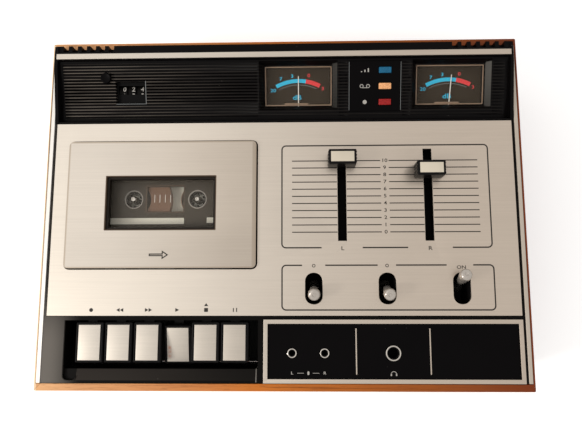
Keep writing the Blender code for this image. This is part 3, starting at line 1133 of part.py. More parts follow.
def make_sliders():
    """The two slide controls: tracks under the faceplate, and knobs with stem and carriage."""
    track_top = MOULDING_BOTTOM - GAP
    slot_y = PLATE_Y + SLIDER_SLOT_Y
    half_y = TRACK_LENGTH / 2
    places = (("slider_knob_left", SLIDER_LEFT_X, SLIDER_LEFT_SETTING_SHARE),
              ("slider_knob_right", SLIDER_RIGHT_X, SLIDER_RIGHT_SETTING_SHARE))
    tracks = box_object("slider_tracks",
                        (SLIDER_LEFT_X - TRACK_WIDTH / 2, slot_y - half_y,
                         track_top - TRACK_HEIGHT),
                        (SLIDER_RIGHT_X + TRACK_WIDTH / 2, slot_y + half_y, track_top), PARTS, STEEL)
    cut_box(tracks, (SLIDER_LEFT_X + TRACK_WIDTH / 2, slot_y - half_y - OVERRUN,
                     track_top - TRACK_HEIGHT + TRACK_STRAP_THICKNESS),
            (SLIDER_RIGHT_X - TRACK_WIDTH / 2, slot_y + half_y + OVERRUN, track_top + OVERRUN))
    cut_box(tracks, (SLIDER_LEFT_X + TRACK_WIDTH / 2, slot_y - half_y + TRACK_STRAP_WIDTH,
                     track_top - TRACK_HEIGHT - OVERRUN),
            (SLIDER_RIGHT_X - TRACK_WIDTH / 2, slot_y + half_y - TRACK_STRAP_WIDTH, track_top + OVERRUN))
    for name, place, setting_share in places:
        cut_box(tracks, (place - TRACK_SLOT_WIDTH / 2, slot_y - TRACK_SLOT_LENGTH / 2,
                         track_top - TRACK_HEIGHT + TRACK_FLOOR),
                (place + TRACK_SLOT_WIDTH / 2, slot_y + TRACK_SLOT_LENGTH / 2, track_top + OVERRUN))
        knob_y = PLATE_Y + SLIDER_SCALE_BOTTOM + setting_share * SLIDER_TRAVEL
        knob = box_object(name, (place - KNOB_WIDTH / 2, knob_y - KNOB_DEPTH / 2, TOP + KNOB_BOTTOM),
                          (place + KNOB_WIDTH / 2, knob_y + KNOB_DEPTH / 2, TOP + KNOB_TOP), PARTS, BLACK,
                          KNOB_EDGE)
        carriage_low = track_top - TRACK_HEIGHT + TRACK_FLOOR + GAP
        join_box(knob, (place - STEM_WIDTH / 2, knob_y - STEM_DEPTH / 2, carriage_low),
                 (place + STEM_WIDTH / 2, knob_y + STEM_DEPTH / 2, TOP + 2 * KNOB_BOTTOM))
        join_box(knob, (place - CARRIAGE_WIDTH / 2, knob_y - CARRIAGE_DEPTH / 2, carriage_low),
                 (place + CARRIAGE_WIDTH / 2, knob_y + CARRIAGE_DEPTH / 2, carriage_low + CARRIAGE_HEIGHT))


def make_toggles():
    """Three toggle switches: hollow bodies and bat levers on cross pins."""
    body_top = MOULDING_BOTTOM - GAP
    slot_y = PLATE_Y + TOGGLE_SLOT_Y
    pivot_y = PLATE_Y + TOGGLE_PIVOT_Y
    pivot_z = TOP - TOGGLE_PIVOT_DROP
    body_low = body_top - TOGGLE_BODY_HEIGHT
    bodies = box_object("toggle_bodies",
                        (TOGGLE_PLACES[0] - TOGGLE_BODY_WIDTH / 2, slot_y - TOGGLE_BODY_LENGTH / 2, body_low),
                        (TOGGLE_PLACES[-1] + TOGGLE_BODY_WIDTH / 2, slot_y + TOGGLE_BODY_LENGTH / 2, body_top),
                        PARTS, BLACK)
    for first, second in zip(TOGGLE_PLACES, TOGGLE_PLACES[1:]):
        cut_box(bodies, (first + TOGGLE_BODY_WIDTH / 2, slot_y - TOGGLE_BODY_LENGTH, body_low + TRACK_STRAP_THICKNESS),
                (second - TOGGLE_BODY_WIDTH / 2, slot_y + TOGGLE_BODY_LENGTH, body_top + OVERRUN))
    tip_top = TOGGLE_LENGTH + TOGGLE_TIP_RADIUS
    profile = [(0, tip_top), (TOGGLE_TIP_RADIUS - TOGGLE_TIP_CHAMFER, tip_top),
               (TOGGLE_TIP_RADIUS, tip_top - TOGGLE_TIP_CHAMFER), (TOGGLE_TIP_RADIUS, tip_top - TOGGLE_TIP_LENGTH),
               (TOGGLE_NECK_RADIUS, TOGGLE_PIVOT_DROP - TOGGLE_NECK_RADIUS), (TOGGLE_NECK_RADIUS, TOGGLE_BALL_RADIUS)]
    for number in range(BALL_STEPS):
        angle = math.pi / 12 - number * math.pi / 4
        profile.append((TOGGLE_BALL_RADIUS * math.cos(angle), TOGGLE_BALL_RADIUS * math.sin(angle)))
    profile.append((0, -TOGGLE_BALL_RADIUS))
    names = ("toggle_noise", "toggle_tape", "toggle_power")
    for name, place in zip(names, TOGGLE_PLACES):
        cut_box(bodies, (place - TOGGLE_CAVITY_WIDTH / 2, slot_y - TOGGLE_CAVITY_LENGTH / 2,
                         body_top - TOGGLE_BODY_HEIGHT + TOGGLE_CAVITY_FLOOR),
                (place + TOGGLE_CAVITY_WIDTH / 2, slot_y + TOGGLE_CAVITY_LENGTH / 2, body_top + OVERRUN))
        cut_round(bodies, (place, pivot_y, pivot_z), TOGGLE_PIN_RADIUS + RUNNING_GAP,
                  TOGGLE_BODY_WIDTH + 2 * OVERRUN, "X", SMALL_ROUND)
        swing = -TOGGLE_SWING if name == "toggle_power" else TOGGLE_SWING
        lever = turned_object(name, profile, (0, 0, 0), PARTS, BRIGHT, SMALL_ROUND)
        pose = Matrix.Translation((place, pivot_y, pivot_z)) @ Matrix.Rotation(swing, 4, "X")
        lever.matrix_world = pose
        shape = bmesh.new()
        add_round(shape, (0, 0, 0), TOGGLE_PIN_RADIUS, TOGGLE_BODY_WIDTH - TOGGLE_PIN_RADIUS, "X", SMALL_ROUND)
        pin = mesh_object(name + "_pin", shape, CUTTERS)
        pin.matrix_world = pose
        combine(lever, pin, "UNION")
        shade_round(lever)


def make_transport():
    """The transport plate with legs, shaft ears and cassette posts."""
    front = PLATE_Y + DECK_FRONT
    back = PLATE_Y + DECK_BACK
    deck = box_object("transport_plate", (DECK_LEFT, front, DECK_BOTTOM), (DECK_RIGHT, back, DECK_TOP), PARTS, STEEL)
    leg_bottom = FLOOR + GAP
    for edge_x in (DECK_LEFT, DECK_RIGHT - LEG_SIZE):
        for edge_y in (front, back - LEG_SIZE):
            join_box(deck, (edge_x, edge_y, leg_bottom), (edge_x + LEG_SIZE, edge_y + LEG_SIZE,
                                                         DECK_TOP - DECK_THICKNESS / 2))
    ears = ((WELL_LEFT - WELL_WALL, 1), (WELL_RIGHT + WELL_WALL, -1))
    for outer, side in ears:
        edges = sorted((outer, outer + side * SHAFT_EAR_THICKNESS))
        join_box(deck, (edges[0], KEY_SHAFT_Y - SHAFT_EAR_DEPTH / 2, DECK_TOP - DECK_THICKNESS / 2),
                 (edges[1], KEY_SHAFT_Y + SHAFT_EAR_DEPTH / 2, KEY_SHAFT_Z + SHAFT_EAR_RISE))
    cut_round(deck, (LID_X, KEY_SHAFT_Y, KEY_SHAFT_Z), KEY_SHAFT_RADIUS + RUNNING_GAP, CABINET_WIDTH / 2, "X",
              SMALL_ROUND)
    post_top = CASSETTE_BOTTOM_Z - GAP
    post_bottom = DECK_TOP - DECK_THICKNESS / 2
    for side in (-1, 1):
        place_x = HUB_X + side * (CASSETTE_WIDTH / 2 - REST_POST_INSET_X)
        for place_y in (CASSETTE_FRONT + REST_POST_INSET_Y, CASSETTE_FRONT + CASSETTE_DEPTH - REST_POST_INSET_Y):
            join_round(deck, (place_x, place_y, (post_top + post_bottom) / 2), REST_POST_RADIUS,
                       post_top - post_bottom, "Z", SMALL_ROUND)
    sleeve_top = DECK_TOP - DECK_THICKNESS / 2
    sleeve_bottom = DECK_TOP - CAPSTAN_SLEEVE_LENGTH
    join_round(deck, (*CAPSTAN_PLACE, (sleeve_top + sleeve_bottom) / 2), CAPSTAN_SLEEVE_RADIUS,
               sleeve_top - sleeve_bottom, "Z", SMALL_ROUND)
    cut_round(deck, (*CAPSTAN_PLACE, DECK_TOP), CAPSTAN_RADIUS + RUNNING_GAP, 4 * CAPSTAN_SLEEVE_LENGTH, "Z",
              SMALL_ROUND)
    for place in SPINDLE_PLACES.values():
        cut_round(deck, (place, SPINDLE_Y, DECK_TOP), SPINDLE_SHAFT_RADIUS + RUNNING_GAP, 4 * DECK_THICKNESS, "Z",
                  SMALL_ROUND)


def make_spindles():
    """The two reel spindles, each with its table above the transport plate and its drum below."""
    middle_z = (CASSETTE_TOP_Z + CASSETTE_BOTTOM_Z) / 2
    for side, place in SPINDLE_PLACES.items():
        table_low = DECK_TOP + GAP
        shape = bmesh.new()
        add_round(shape, (0, 0, table_low + REEL_TABLE_THICKNESS / 2), REEL_TABLE_RADIUS, REEL_TABLE_THICKNESS)
        spindle = mesh_object("spindle_" + side, shape, PARTS, BLACK)
        spindle.location = (place, SPINDLE_Y, 0)
        nose_top = CASSETTE_TOP_Z + CASSETTE_WALL
        nose_low = table_low + REEL_TABLE_THICKNESS / 2
        join_round(spindle, (place, SPINDLE_Y, (nose_top + nose_low) / 2), SPINDLE_RADIUS, nose_top - nose_low, "Z",
                   SMALL_ROUND, SPINDLE_RADIUS - SPINDLE_TIP)
        fin_reach = SPINDLE_RADIUS + SPINDLE_FIN / 2
        join_box(spindle, (place - fin_reach, SPINDLE_Y - SPINDLE_FIN / 2, nose_low),
                 (place + fin_reach, SPINDLE_Y + SPINDLE_FIN / 2, middle_z + CASSETTE_WALL))
        drum_top = DECK_BOTTOM - GAP
        drum_low = drum_top - REEL_DRUM_THICKNESS
        join_round(spindle, (place, SPINDLE_Y, (nose_low + drum_low) / 2), SPINDLE_SHAFT_RADIUS,
                   nose_low - drum_low, "Z", SMALL_ROUND)
        join_round(spindle, (place, SPINDLE_Y, (drum_top + drum_low) / 2), REEL_DRUM_RADIUS, REEL_DRUM_THICKNESS)
        shade_round(spindle)


def make_heads():
    """The sliding head bridge with its heads, and the pinch roller on it."""
    middle_z = (CASSETTE_TOP_Z + CASSETTE_BOTTOM_Z) / 2
    plate_low = DECK_TOP + HEAD_PLATE_LIFT
    plate_top = plate_low + HEAD_PLATE_THICKNESS
    back = CASSETTE_FRONT - 2 * GAP
    bridge = box_object("head_bridge", (HUB_X - HEAD_PLATE_WIDTH / 2, back - HEAD_PLATE_DEPTH, plate_low),
                        (HUB_X + HEAD_PLATE_WIDTH / 2, back, plate_top), PARTS, STEEL)
    for offset, width in ((0, HEAD_WIDTH), (-SIDE_SLOT_X, ERASE_HEAD_WIDTH)):
        place = HUB_X + offset
        join_box(bridge, (place - width / 2, back - HEAD_DEPTH, plate_low + HEAD_PLATE_THICKNESS / 2),
                 (place + width / 2, back, plate_low + HEAD_HEIGHT))
        nose = min(width, HEAD_NOSE_WIDTH) / 2 - GAP
        join_box(bridge, (place - nose, back - HEAD_DEPTH / 2, middle_z - HEAD_NOSE_HEIGHT / 2),
                 (place + nose, CASSETTE_FRONT + HEAD_REACH, middle_z + HEAD_NOSE_HEIGHT / 2))
    pin_top = middle_z + ROLLER_HEIGHT / 2 + 2 * HEAD_PLATE_THICKNESS
    pin_low = plate_low + HEAD_PLATE_THICKNESS / 2
    join_round(bridge, (*ROLLER_PLACE, (pin_top + pin_low) / 2), ROLLER_BORE, pin_top - pin_low, "Z", SMALL_ROUND)
    collar_top = middle_z - ROLLER_HEIGHT / 2 - GAP
    join_round(bridge, (*ROLLER_PLACE, (collar_top + pin_low) / 2), 2 * ROLLER_BORE, collar_top - pin_low, "Z",
               SMALL_ROUND)
    shape = bmesh.new()
    add_round(shape, (0, 0, 0), ROLLER_RADIUS, ROLLER_HEIGHT)
    roller = mesh_object("pinch_roller", shape, PARTS, RUBBER)
    roller.location = (*ROLLER_PLACE, middle_z)
    cut_round(roller, (*ROLLER_PLACE, middle_z), ROLLER_BORE + RUNNING_GAP, 2 * ROLLER_HEIGHT, "Z", SMALL_ROUND)
    shade_round(roller)


def belt_loop(offset):
    """Return the outline of the belt round flywheel and pulley, an offset outside them."""
    first = Vector(CAPSTAN_PLACE)
    second = Vector((MOTOR_X, PLATE_Y + MOTOR_Y))
    first_radius = FLYWHEEL_RADIUS + offset
    second_radius = PULLEY_RADIUS + offset
    reach = second - first
    heading = math.atan2(reach.y, reach.x)
    spread = math.acos((first_radius - second_radius) / reach.length)
    points = []
    for step in range(ROUND + 1):
        angle = heading + spread + (2 * math.pi - 2 * spread) * step / ROUND
        points.append((first.x + first_radius * math.cos(angle), first.y + first_radius * math.sin(angle)))
    for step in range(SLOT_END_STEPS + 1):
        angle = heading - spread + 2 * spread * step / SLOT_END_STEPS
        points.append((second.x + second_radius * math.cos(angle), second.y + second_radius * math.sin(angle)))
    return points


def make_drive():
    """The flywheel on its capstan, the motor, its pulley and the belt."""
    low = FLYWHEEL_TOP - FLYWHEEL_THICKNESS
    shape = bmesh.new()
    add_round(shape, (0, 0, FLYWHEEL_TOP - FLYWHEEL_THICKNESS / 2), FLYWHEEL_RADIUS, FLYWHEEL_THICKNESS, "Z",
              2 * ROUND)
    flywheel = mesh_object("flywheel", shape, PARTS, BRASS)
    flywheel.location = (*CAPSTAN_PLACE, 0)
    capstan_top = TOP - CAPSTAN_TOP
    capstan_low = low - FLYWHEEL_SHAFT_TAIL
    join_round(flywheel, (*CAPSTAN_PLACE, (capstan_top + capstan_low) / 2), CAPSTAN_RADIUS,
               capstan_top - capstan_low, "Z", SMALL_ROUND)
    shade_round(flywheel)
    motor_place = (MOTOR_X, PLATE_Y + MOTOR_Y)
    motor_top = DECK_BOTTOM - GAP
    shape = bmesh.new()
    add_round(shape, (*motor_place, motor_top - MOTOR_HEIGHT / 2), MOTOR_RADIUS, MOTOR_HEIGHT)
    motor = mesh_object("motor", shape, PARTS, STEEL)
    cut_round(motor, (*motor_place, motor_top - MOTOR_HEIGHT), MOTOR_SHAFT_RADIUS + RUNNING_GAP, MOTOR_HEIGHT, "Z",
              SMALL_ROUND)
    shade_round(motor)
    pulley_middle = FLYWHEEL_TOP - FLYWHEEL_THICKNESS / 2
    shape = bmesh.new()
    add_round(shape, (0, 0, pulley_middle), PULLEY_RADIUS, PULLEY_THICKNESS)
    pulley = mesh_object("motor_pulley", shape, PARTS, BRASS)
    pulley.location = (*motor_place, 0)
    shaft_top = motor_top - MOTOR_HEIGHT * 2 / 3
    join_round(pulley, (*motor_place, (shaft_top + pulley_middle) / 2), MOTOR_SHAFT_RADIUS,
               shaft_top - pulley_middle, "Z", SMALL_ROUND)
    shade_round(pulley)
    belt_low = pulley_middle - BELT_WIDTH / 2
    belt = outline_object("drive_belt", belt_loop(GAP + BELT_THICKNESS), belt_low, belt_low + BELT_WIDTH, "XY", PARTS,
                          RUBBER)
    cut_outline(belt, belt_loop(GAP), belt_low - OVERRUN, belt_low + BELT_WIDTH + OVERRUN)


def make_electrics():
    """The circuit board with its larger components, and the mains transformer."""
    low_y = PLATE_Y + BOARD_FRONT
    high_y = PLATE_Y + BOARD_BACK
    sheet_low = FLOOR + BOARD_LIFT
    sheet_top = sheet_low + BOARD_SHEET
    board = box_object("circuit_board", (BOARD_LEFT, low_y, sheet_low), (BOARD_RIGHT, high_y, sheet_top), PARTS,
                       GREEN_BOARD)
    for place_x in (BOARD_LEFT + BOARD_POST_INSET, BOARD_RIGHT - BOARD_POST_INSET):
        for place_y in (low_y + BOARD_POST_INSET, high_y - BOARD_POST_INSET):
            post_low = FLOOR + GAP
            post_top = sheet_low + BOARD_SHEET / 2
            join_round(board, (place_x, place_y, (post_low + post_top) / 2), BOARD_POST_RADIUS,
                       post_top - post_low, "Z", SMALL_ROUND)
    middle_x = (BOARD_LEFT + BOARD_RIGHT) / 2
    middle_y = (low_y + high_y) / 2
    for number in range(CAPACITOR_COUNT):
        place_x = middle_x + (number - (CAPACITOR_COUNT - 1) / 2) * CAPACITOR_PITCH
        part_low = sheet_top - BOARD_SHEET / 2
        join_round(board, (place_x, middle_y + CAPACITOR_PITCH, part_low + CAPACITOR_HEIGHT / 2), CAPACITOR_RADIUS,
                   CAPACITOR_HEIGHT, "Z", SMALL_ROUND)
        join_box(board, (place_x - COIL_SCREEN_SIZE / 2, middle_y - CAPACITOR_PITCH - COIL_SCREEN_SIZE, part_low),
                 (place_x + COIL_SCREEN_SIZE / 2, middle_y - CAPACITOR_PITCH, part_low + COIL_SCREEN_SIZE))
    foot_low = FLOOR + GAP
    centre = TRANSFORMER_PLACE
    core = box_object("transformer", (centre[0] - TRANSFORMER_FOOT_WIDTH / 2, centre[1] - TRANSFORMER_DEPTH / 4,
                                      foot_low),
                      (centre[0] + TRANSFORMER_FOOT_WIDTH / 2, centre[1] + TRANSFORMER_DEPTH / 4,
                       foot_low + TRANSFORMER_FOOT), PARTS, STEEL)
    join_box(core, (centre[0] - TRANSFORMER_WIDTH / 2, centre[1] - TRANSFORMER_DEPTH / 2,
                    foot_low + TRANSFORMER_FOOT / 2),
             (centre[0] + TRANSFORMER_WIDTH / 2, centre[1] + TRANSFORMER_DEPTH / 2, foot_low + TRANSFORMER_HEIGHT))
    coil_low = foot_low + (TRANSFORMER_HEIGHT - TRANSFORMER_COIL_HEIGHT) / 2
    join_box(core, (centre[0] - TRANSFORMER_COIL_WIDTH / 2, centre[1] - TRANSFORMER_COIL_DEPTH / 2, coil_low),
             (centre[0] + TRANSFORMER_COIL_WIDTH / 2, centre[1] + TRANSFORMER_COIL_DEPTH / 2,
              coil_low + TRANSFORMER_COIL_HEIGHT))


clear_scene()
PARTS = add_collection(PART_NAME)
CUTTERS = add_collection("cutters")
make_cabinet()
make_rear_panel()
make_base()
make_moulding()
make_faceplate()
make_lid()
make_cassette()
make_bridge()
make_meter("left", METER_LEFT_X, 0)
make_meter("right", METER_RIGHT_X, -NEEDLE_TILT_RIGHT)
make_lamps()
make_counter()
make_keys()
make_jacks()
make_sliders()
make_toggles()
make_transport()
make_spindles()
make_heads()
make_drive()
make_electrics()
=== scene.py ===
import json
import math

import bmesh
import bpy
from mathutils import Matrix, Vector


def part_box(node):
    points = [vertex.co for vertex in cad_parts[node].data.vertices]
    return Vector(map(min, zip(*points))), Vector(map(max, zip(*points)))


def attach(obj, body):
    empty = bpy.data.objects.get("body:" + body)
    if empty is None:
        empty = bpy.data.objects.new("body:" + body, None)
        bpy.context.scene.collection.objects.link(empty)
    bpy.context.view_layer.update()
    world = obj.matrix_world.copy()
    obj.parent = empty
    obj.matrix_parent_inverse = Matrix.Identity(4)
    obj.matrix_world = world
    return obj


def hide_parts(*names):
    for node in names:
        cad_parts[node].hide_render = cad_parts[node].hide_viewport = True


# Cassette deck: the looks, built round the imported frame.
# Sizes in the dictionaries are millimetres; a frame matrix turns them into metres.
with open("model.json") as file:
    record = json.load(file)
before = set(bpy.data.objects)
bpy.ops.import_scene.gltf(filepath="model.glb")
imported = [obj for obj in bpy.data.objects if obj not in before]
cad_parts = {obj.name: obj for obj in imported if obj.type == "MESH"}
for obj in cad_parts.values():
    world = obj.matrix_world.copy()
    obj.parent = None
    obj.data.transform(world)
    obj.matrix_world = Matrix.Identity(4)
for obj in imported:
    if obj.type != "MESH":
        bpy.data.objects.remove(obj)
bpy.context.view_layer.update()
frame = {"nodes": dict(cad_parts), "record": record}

mm = 0.001
bodyOf = {node: body for body, nodes in frame["record"]["behaviour"]["bodies"].items() for node in nodes}

# Frames that the pieces are drawn in
rowFrame = Matrix.Scale(mm, 4)
plateMiddle = (0, -5.1, 86)  # middle of the faceplate, on its top
plateFrame = Matrix.Translation(Vector(plateMiddle) * mm) @ rowFrame
slopeFoot = (0, 60.8, 80.2)  # foot of the meter bridge's slope; the slope's frame has its Y up the slope
slopeAngle = math.atan2(10.3, 37.5)
slopeFrame = Matrix.Translation(Vector(slopeFoot) * mm) @ Matrix.Rotation(slopeAngle, 4, "X") @ rowFrame


def mathStep(operation, swapped=False):
    def step(wire, other):
        pair = (other, wire) if swapped else (wire, other)
        return wire.finish.math(operation, *pair)
    return step


class Wire:
    # one output of a material's nodes, so that sums on it add Math nodes
    def __init__(self, finish, socket):
        self.finish = finish
        self.socket = socket

    def __abs__(self):
        return self.finish.math("ABSOLUTE", self, 0.0)

    __add__ = mathStep("ADD")
    __radd__ = mathStep("ADD", True)
    __sub__ = mathStep("SUBTRACT")
    __rsub__ = mathStep("SUBTRACT", True)
    __mul__ = mathStep("MULTIPLY")
    __rmul__ = mathStep("MULTIPLY", True)
    __gt__ = mathStep("GREATER_THAN")
    __lt__ = mathStep("LESS_THAN")


class Finish:
    # a material, and the nodes that make it
    def __init__(self, name, fixed=None):
        self.material = bpy.data.materials.new(name)
        self.material.use_nodes = True
        self.nodes = self.material.node_tree.nodes
        self.shader = self.nodes["Principled BSDF"]
        for socket, value in (fixed or {}).items():
            self.shader.inputs[socket].default_value = value

    def feed(self, socket, value):
        if isinstance(value, Wire):
            self.material.node_tree.links.new(value.socket, socket)
        else:
            socket.default_value = value

    def add(self, kind, settings=None, sockets=None, output=0):
        made = self.nodes.new(kind)
        for key, value in (settings or {}).items():
            if key == "stops":
                ramp = made.color_ramp
                while len(ramp.elements) < len(value):
                    ramp.elements.new(0.5)
                for stop, (place, colour) in zip(ramp.elements, value):
                    stop.position = place
                    stop.color = (*colour, 1)
            else:
                setattr(made, key, value)
        for key, value in (sockets or {}).items():
            self.feed(made.inputs[key], value)
        return Wire(self, made.outputs[output])

    def math(self, operation, first, second):
        return self.add("ShaderNodeMath", {"operation": operation}, {0: first, 1: second})

    def spots(self, stretch=(1, 1, 1), centre=(0, 0, 0)):
        # object coordinates, moved to a centre and stretched
        plain = self.add("ShaderNodeTexCoord", output="Object")
        away = [-value for value in centre]
        moved = self.add("ShaderNodeMapping", None, {"Vector": plain, "Location": away})
        return self.add("ShaderNodeVectorMath", {"operation": "MULTIPLY"}, {0: moved, 1: stretch})

    def axis(self, number):
        return self.add("ShaderNodeSeparateXYZ", None, {0: self.spots()}, number)

    def axes(self):
        return [self.axis(number) for number in range(3)]

    def noise(self, scale, detail=3.0, rough=0.55, stretch=(1, 1, 1), where=None):
        return self.add("ShaderNodeTexNoise", None, {
            "Vector": where or self.spots(stretch), "Scale": scale, "Detail": detail, "Roughness": rough})

    def fade(self, value, low, high, first=0.0, last=1.0):
        return self.add("ShaderNodeMapRange", {"interpolation_type": "SMOOTHSTEP"}, {
            "Value": value, "From Min": low, "From Max": high, "To Min": first, "To Max": last})

    def blend(self, share, first, second, way="MIX"):
        return self.add("ShaderNodeMix", {"data_type": "RGBA", "blend_type": way}, {
            0: share, 6: opaque(first), 7: opaque(second)}, 2)

    def shades(self, value, stops):
        return self.add("ShaderNodeValToRGB", {"stops": stops}, {"Fac": value})

    def bump(self, height, strength, distance):
        sockets = {"Height": height, "Strength": strength, "Distance": distance}
        self.feed(self.shader.inputs["Normal"], self.add("ShaderNodeBump", None, sockets))

    def paint(self, colour, roughness):
        self.feed(self.shader.inputs["Base Color"], colour)
        self.feed(self.shader.inputs["Roughness"], roughness)
        return self.material


def opaque(colour):
    return colour if isinstance(colour, Wire) else (*colour, 1)


def tinted(colour, factor):
    return tuple(min(value * factor, 1) for value in colour)


# Finishes. The places where a look changes are in metres, as object coordinates are.
def walnutVeneer():
    # left, middle and right are painted light and shade across the cabinet, glare is a painted highlight,
    # inside is painted shade
    look = {"left": (0.70, 0.39, 0.19), "middle": (0.55, 0.165, 0.022), "right": (0.175, 0.032, 0.007),
            "inside": (0.012, 0.008, 0.006), "glare": (0.86, 0.68, 0.48), "pore": (0.09, 0.03, 0.010),
            "worn": (0.72, 0.38, 0.16)}
    place = {"halfWidth": 0.154, "halfDepth": 0.113, "glare": -0.1523, "insideX": 0.1452, "insideY": 0.1042,
             "mitre": 0.041, "seam": 0.00025, "rim": 0.0004, "wornLow": 0.0845, "wornHigh": 0.0856}
    finish = Finish("walnutVeneer", {"Coat Roughness": 0.3, "Specular IOR Level": 0.12})
    x, y, z = finish.axes()
    # 1 on the side boards, whose grain runs front to back
    side = (abs(x) - place["halfWidth"]) > (abs(y) - place["halfDepth"])
    along = x * (1 - side) + y * side
    across = y * (1 - side) + x * side
    flow = finish.add("ShaderNodeCombineXYZ", None, {0: along * 7.0, 1: across * 90.0, 2: z * 90.0})
    bands = finish.noise(1.3, 4.0, 0.6, where=flow)
    fine = finish.add("ShaderNodeCombineXYZ", None, {0: along * 60.0, 1: across * 1500.0, 2: z * 1500.0})
    streaks = finish.noise(1.0, 3.0, 0.6, where=fine)
    pores = finish.fade(finish.noise(2.2, 2.0, 0.5, where=fine), 0.60, 0.72)
    # painted light and shade: the colour runs from a pale left end, near the light, to a dark right end
    stops = [(0.0, look["left"]), (0.45, look["middle"]), (1.0, look["right"])]
    colour = finish.shades(x * 3.2 + 0.5, stops)
    # painted highlight: the far left edge is washed out by the light
    colour = finish.blend((x < place["glare"]) * 0.85, colour, look["glare"])
    figure = finish.shades(bands * 0.7 + streaks * 0.3, [
        (0.30, (0.46, 0.38, 0.32)), (0.47, (0.86, 0.82, 0.80)), (0.66, (1.0, 1.0, 1.0))])
    colour = finish.blend(1.0, colour, figure, "MULTIPLY")
    colour = finish.blend(pores * 0.45, colour, look["pore"])
    seam = finish.fade(abs(abs(x) - abs(y) - place["mitre"]), 0.0, place["seam"], 1.0, 0.0)
    colour = finish.blend(seam * 0.7, colour, look["pore"])
    outer = finish.math("MAXIMUM", abs(x) - (place["halfWidth"] - place["rim"]),
                        abs(y) - (place["halfDepth"] - place["rim"]))
    worn = finish.fade(outer, 0.0, place["rim"]) * finish.fade(z, place["wornLow"], place["wornHigh"])
    worn = worn * finish.fade(finish.noise(70), 0.42, 0.62)
    colour = finish.blend(worn * 0.6, colour, look["worn"])
    # painted shade: the inside faces are darkened to near black
    inside = (abs(x) < place["insideX"]) * (abs(y) < place["insideY"])
    colour = finish.blend(inside * 0.97, colour, look["inside"])
    finish.feed(finish.shader.inputs["Coat Weight"], finish.fade(finish.noise(30), 0.3, 0.7, 0.02, 0.1))
    finish.bump(streaks - pores * 0.8, 0.25, 0.00012)
    return finish.paint(colour, 0.42 + streaks * 0.16)


def brushedMetal(name, colour, roughness=0.34, grain="x", streak=0.05, dull=0.10, metallic=1.0, lit=None):
    finish = Finish(name, {"Metallic": metallic})
    stretch = {"x": (30, 4200, 4200), "y": (4200, 30, 4200), "round": (900, 900, 900)}[grain]
    lines = finish.noise(1.0, 3.0, 0.65, stretch)
    coarse = finish.noise(1.0, 2.0, 0.5, tuple(value * 0.4 for value in stretch))
    handled = finish.noise(22, 3.0, 0.6)
    spread = lines * 0.6 + coarse * 0.4
    tones = tinted(colour, 1 - streak), tinted(colour, 1 + streak * 0.7)
    tone = finish.blend(finish.fade(spread, 0.3, 0.7), *tones)
    tone = finish.blend(finish.fade(handled, 0.45, 0.75) * dull, tone, tinted(colour, 0.72))
    if lit:
        tone = lit(finish, tone)
    finish.bump(spread, 0.12, 0.00004)
    return finish.paint(tone, spread * 0.14 + handled * 0.08 + (roughness - 0.11))


def mouldedPlastic(name, colour, roughness=0.36, grain=2600, shine=0.3, dust=0.0, relief=0.05, lit=None):
    finish = Finish(name, {"Specular IOR Level": shine})
    texture = finish.noise(grain, 2.0, 0.6)
    smudge = finish.noise(26, 3.0, 0.6)
    tone = finish.blend(smudge, tinted(colour, 0.8), tinted(colour, 1.25))
    if lit:
        tone = lit(finish, tone)
    if dust:
        cells = finish.add("ShaderNodeTexVoronoi", None, {"Vector": finish.spots(), "Scale": 190.0})
        speck = (cells < 0.035) * (finish.noise(60) > 0.56)
        tone = finish.blend(speck * dust, tone, (0.32, 0.30, 0.27))
    finish.bump(texture, relief, 0.00008)
    return finish.paint(tone, smudge * 0.16 + texture * 0.08 + (roughness - 0.12))


def litRibs(finish, tone):
    # painted highlights: the ribs' crests and the right walls of the meter mouths catch the light, most of all
    # at the left
    rib = {"first": 0.0034, "half": 0.001, "start": 0.0016, "end": 0.0372, "top": 0.0915, "edge": 0.1451,
           "colour": (0.17, 0.145, 0.12)}
    wallHighlight = {"spans": ((0.1336, 0.1366, 0.75), (0.0331, 0.0362, 0.35)), "start": 0.0075, "end": 0.0365,
            "colour": (0.12, 0.115, 0.105)}
    x, y, z = finish.axes()
    footY, footZ = slopeFoot[1] * mm, slopeFoot[2] * mm
    along = (y - footY) * math.cos(slopeAngle) + (z - footZ) * math.sin(slopeAngle)
    wave = finish.math("PINGPONG", along - rib["first"], rib["half"])
    crestHighlight = finish.fade(wave, 0.0001, 0.00042, 1.0, 0.0)
    crestHighlight = crestHighlight * (along > rib["start"]) * (along < rib["end"]) * (z < rib["top"])
    leftward = finish.fade(x, -0.150, -0.02, 1.0, 0.10) * (abs(x) < rib["edge"])
    patchy = finish.fade(finish.noise(1.0, 3.0, 0.6, (28, 700, 700)), 0.30, 0.62, 0.25, 1.0)
    tone = finish.blend(crestHighlight * leftward * patchy * 0.7, tone, rib["colour"])
    for start, end, level in wallHighlight["spans"]:
        lit = (x > start) * (x < end) * (along > wallHighlight["start"]) * (along < wallHighlight["end"])
        tone = finish.blend(lit * finish.fade(along, 0.004, 0.036, 0.55, 1.0) * level, tone, wallHighlight["colour"])
    return tone


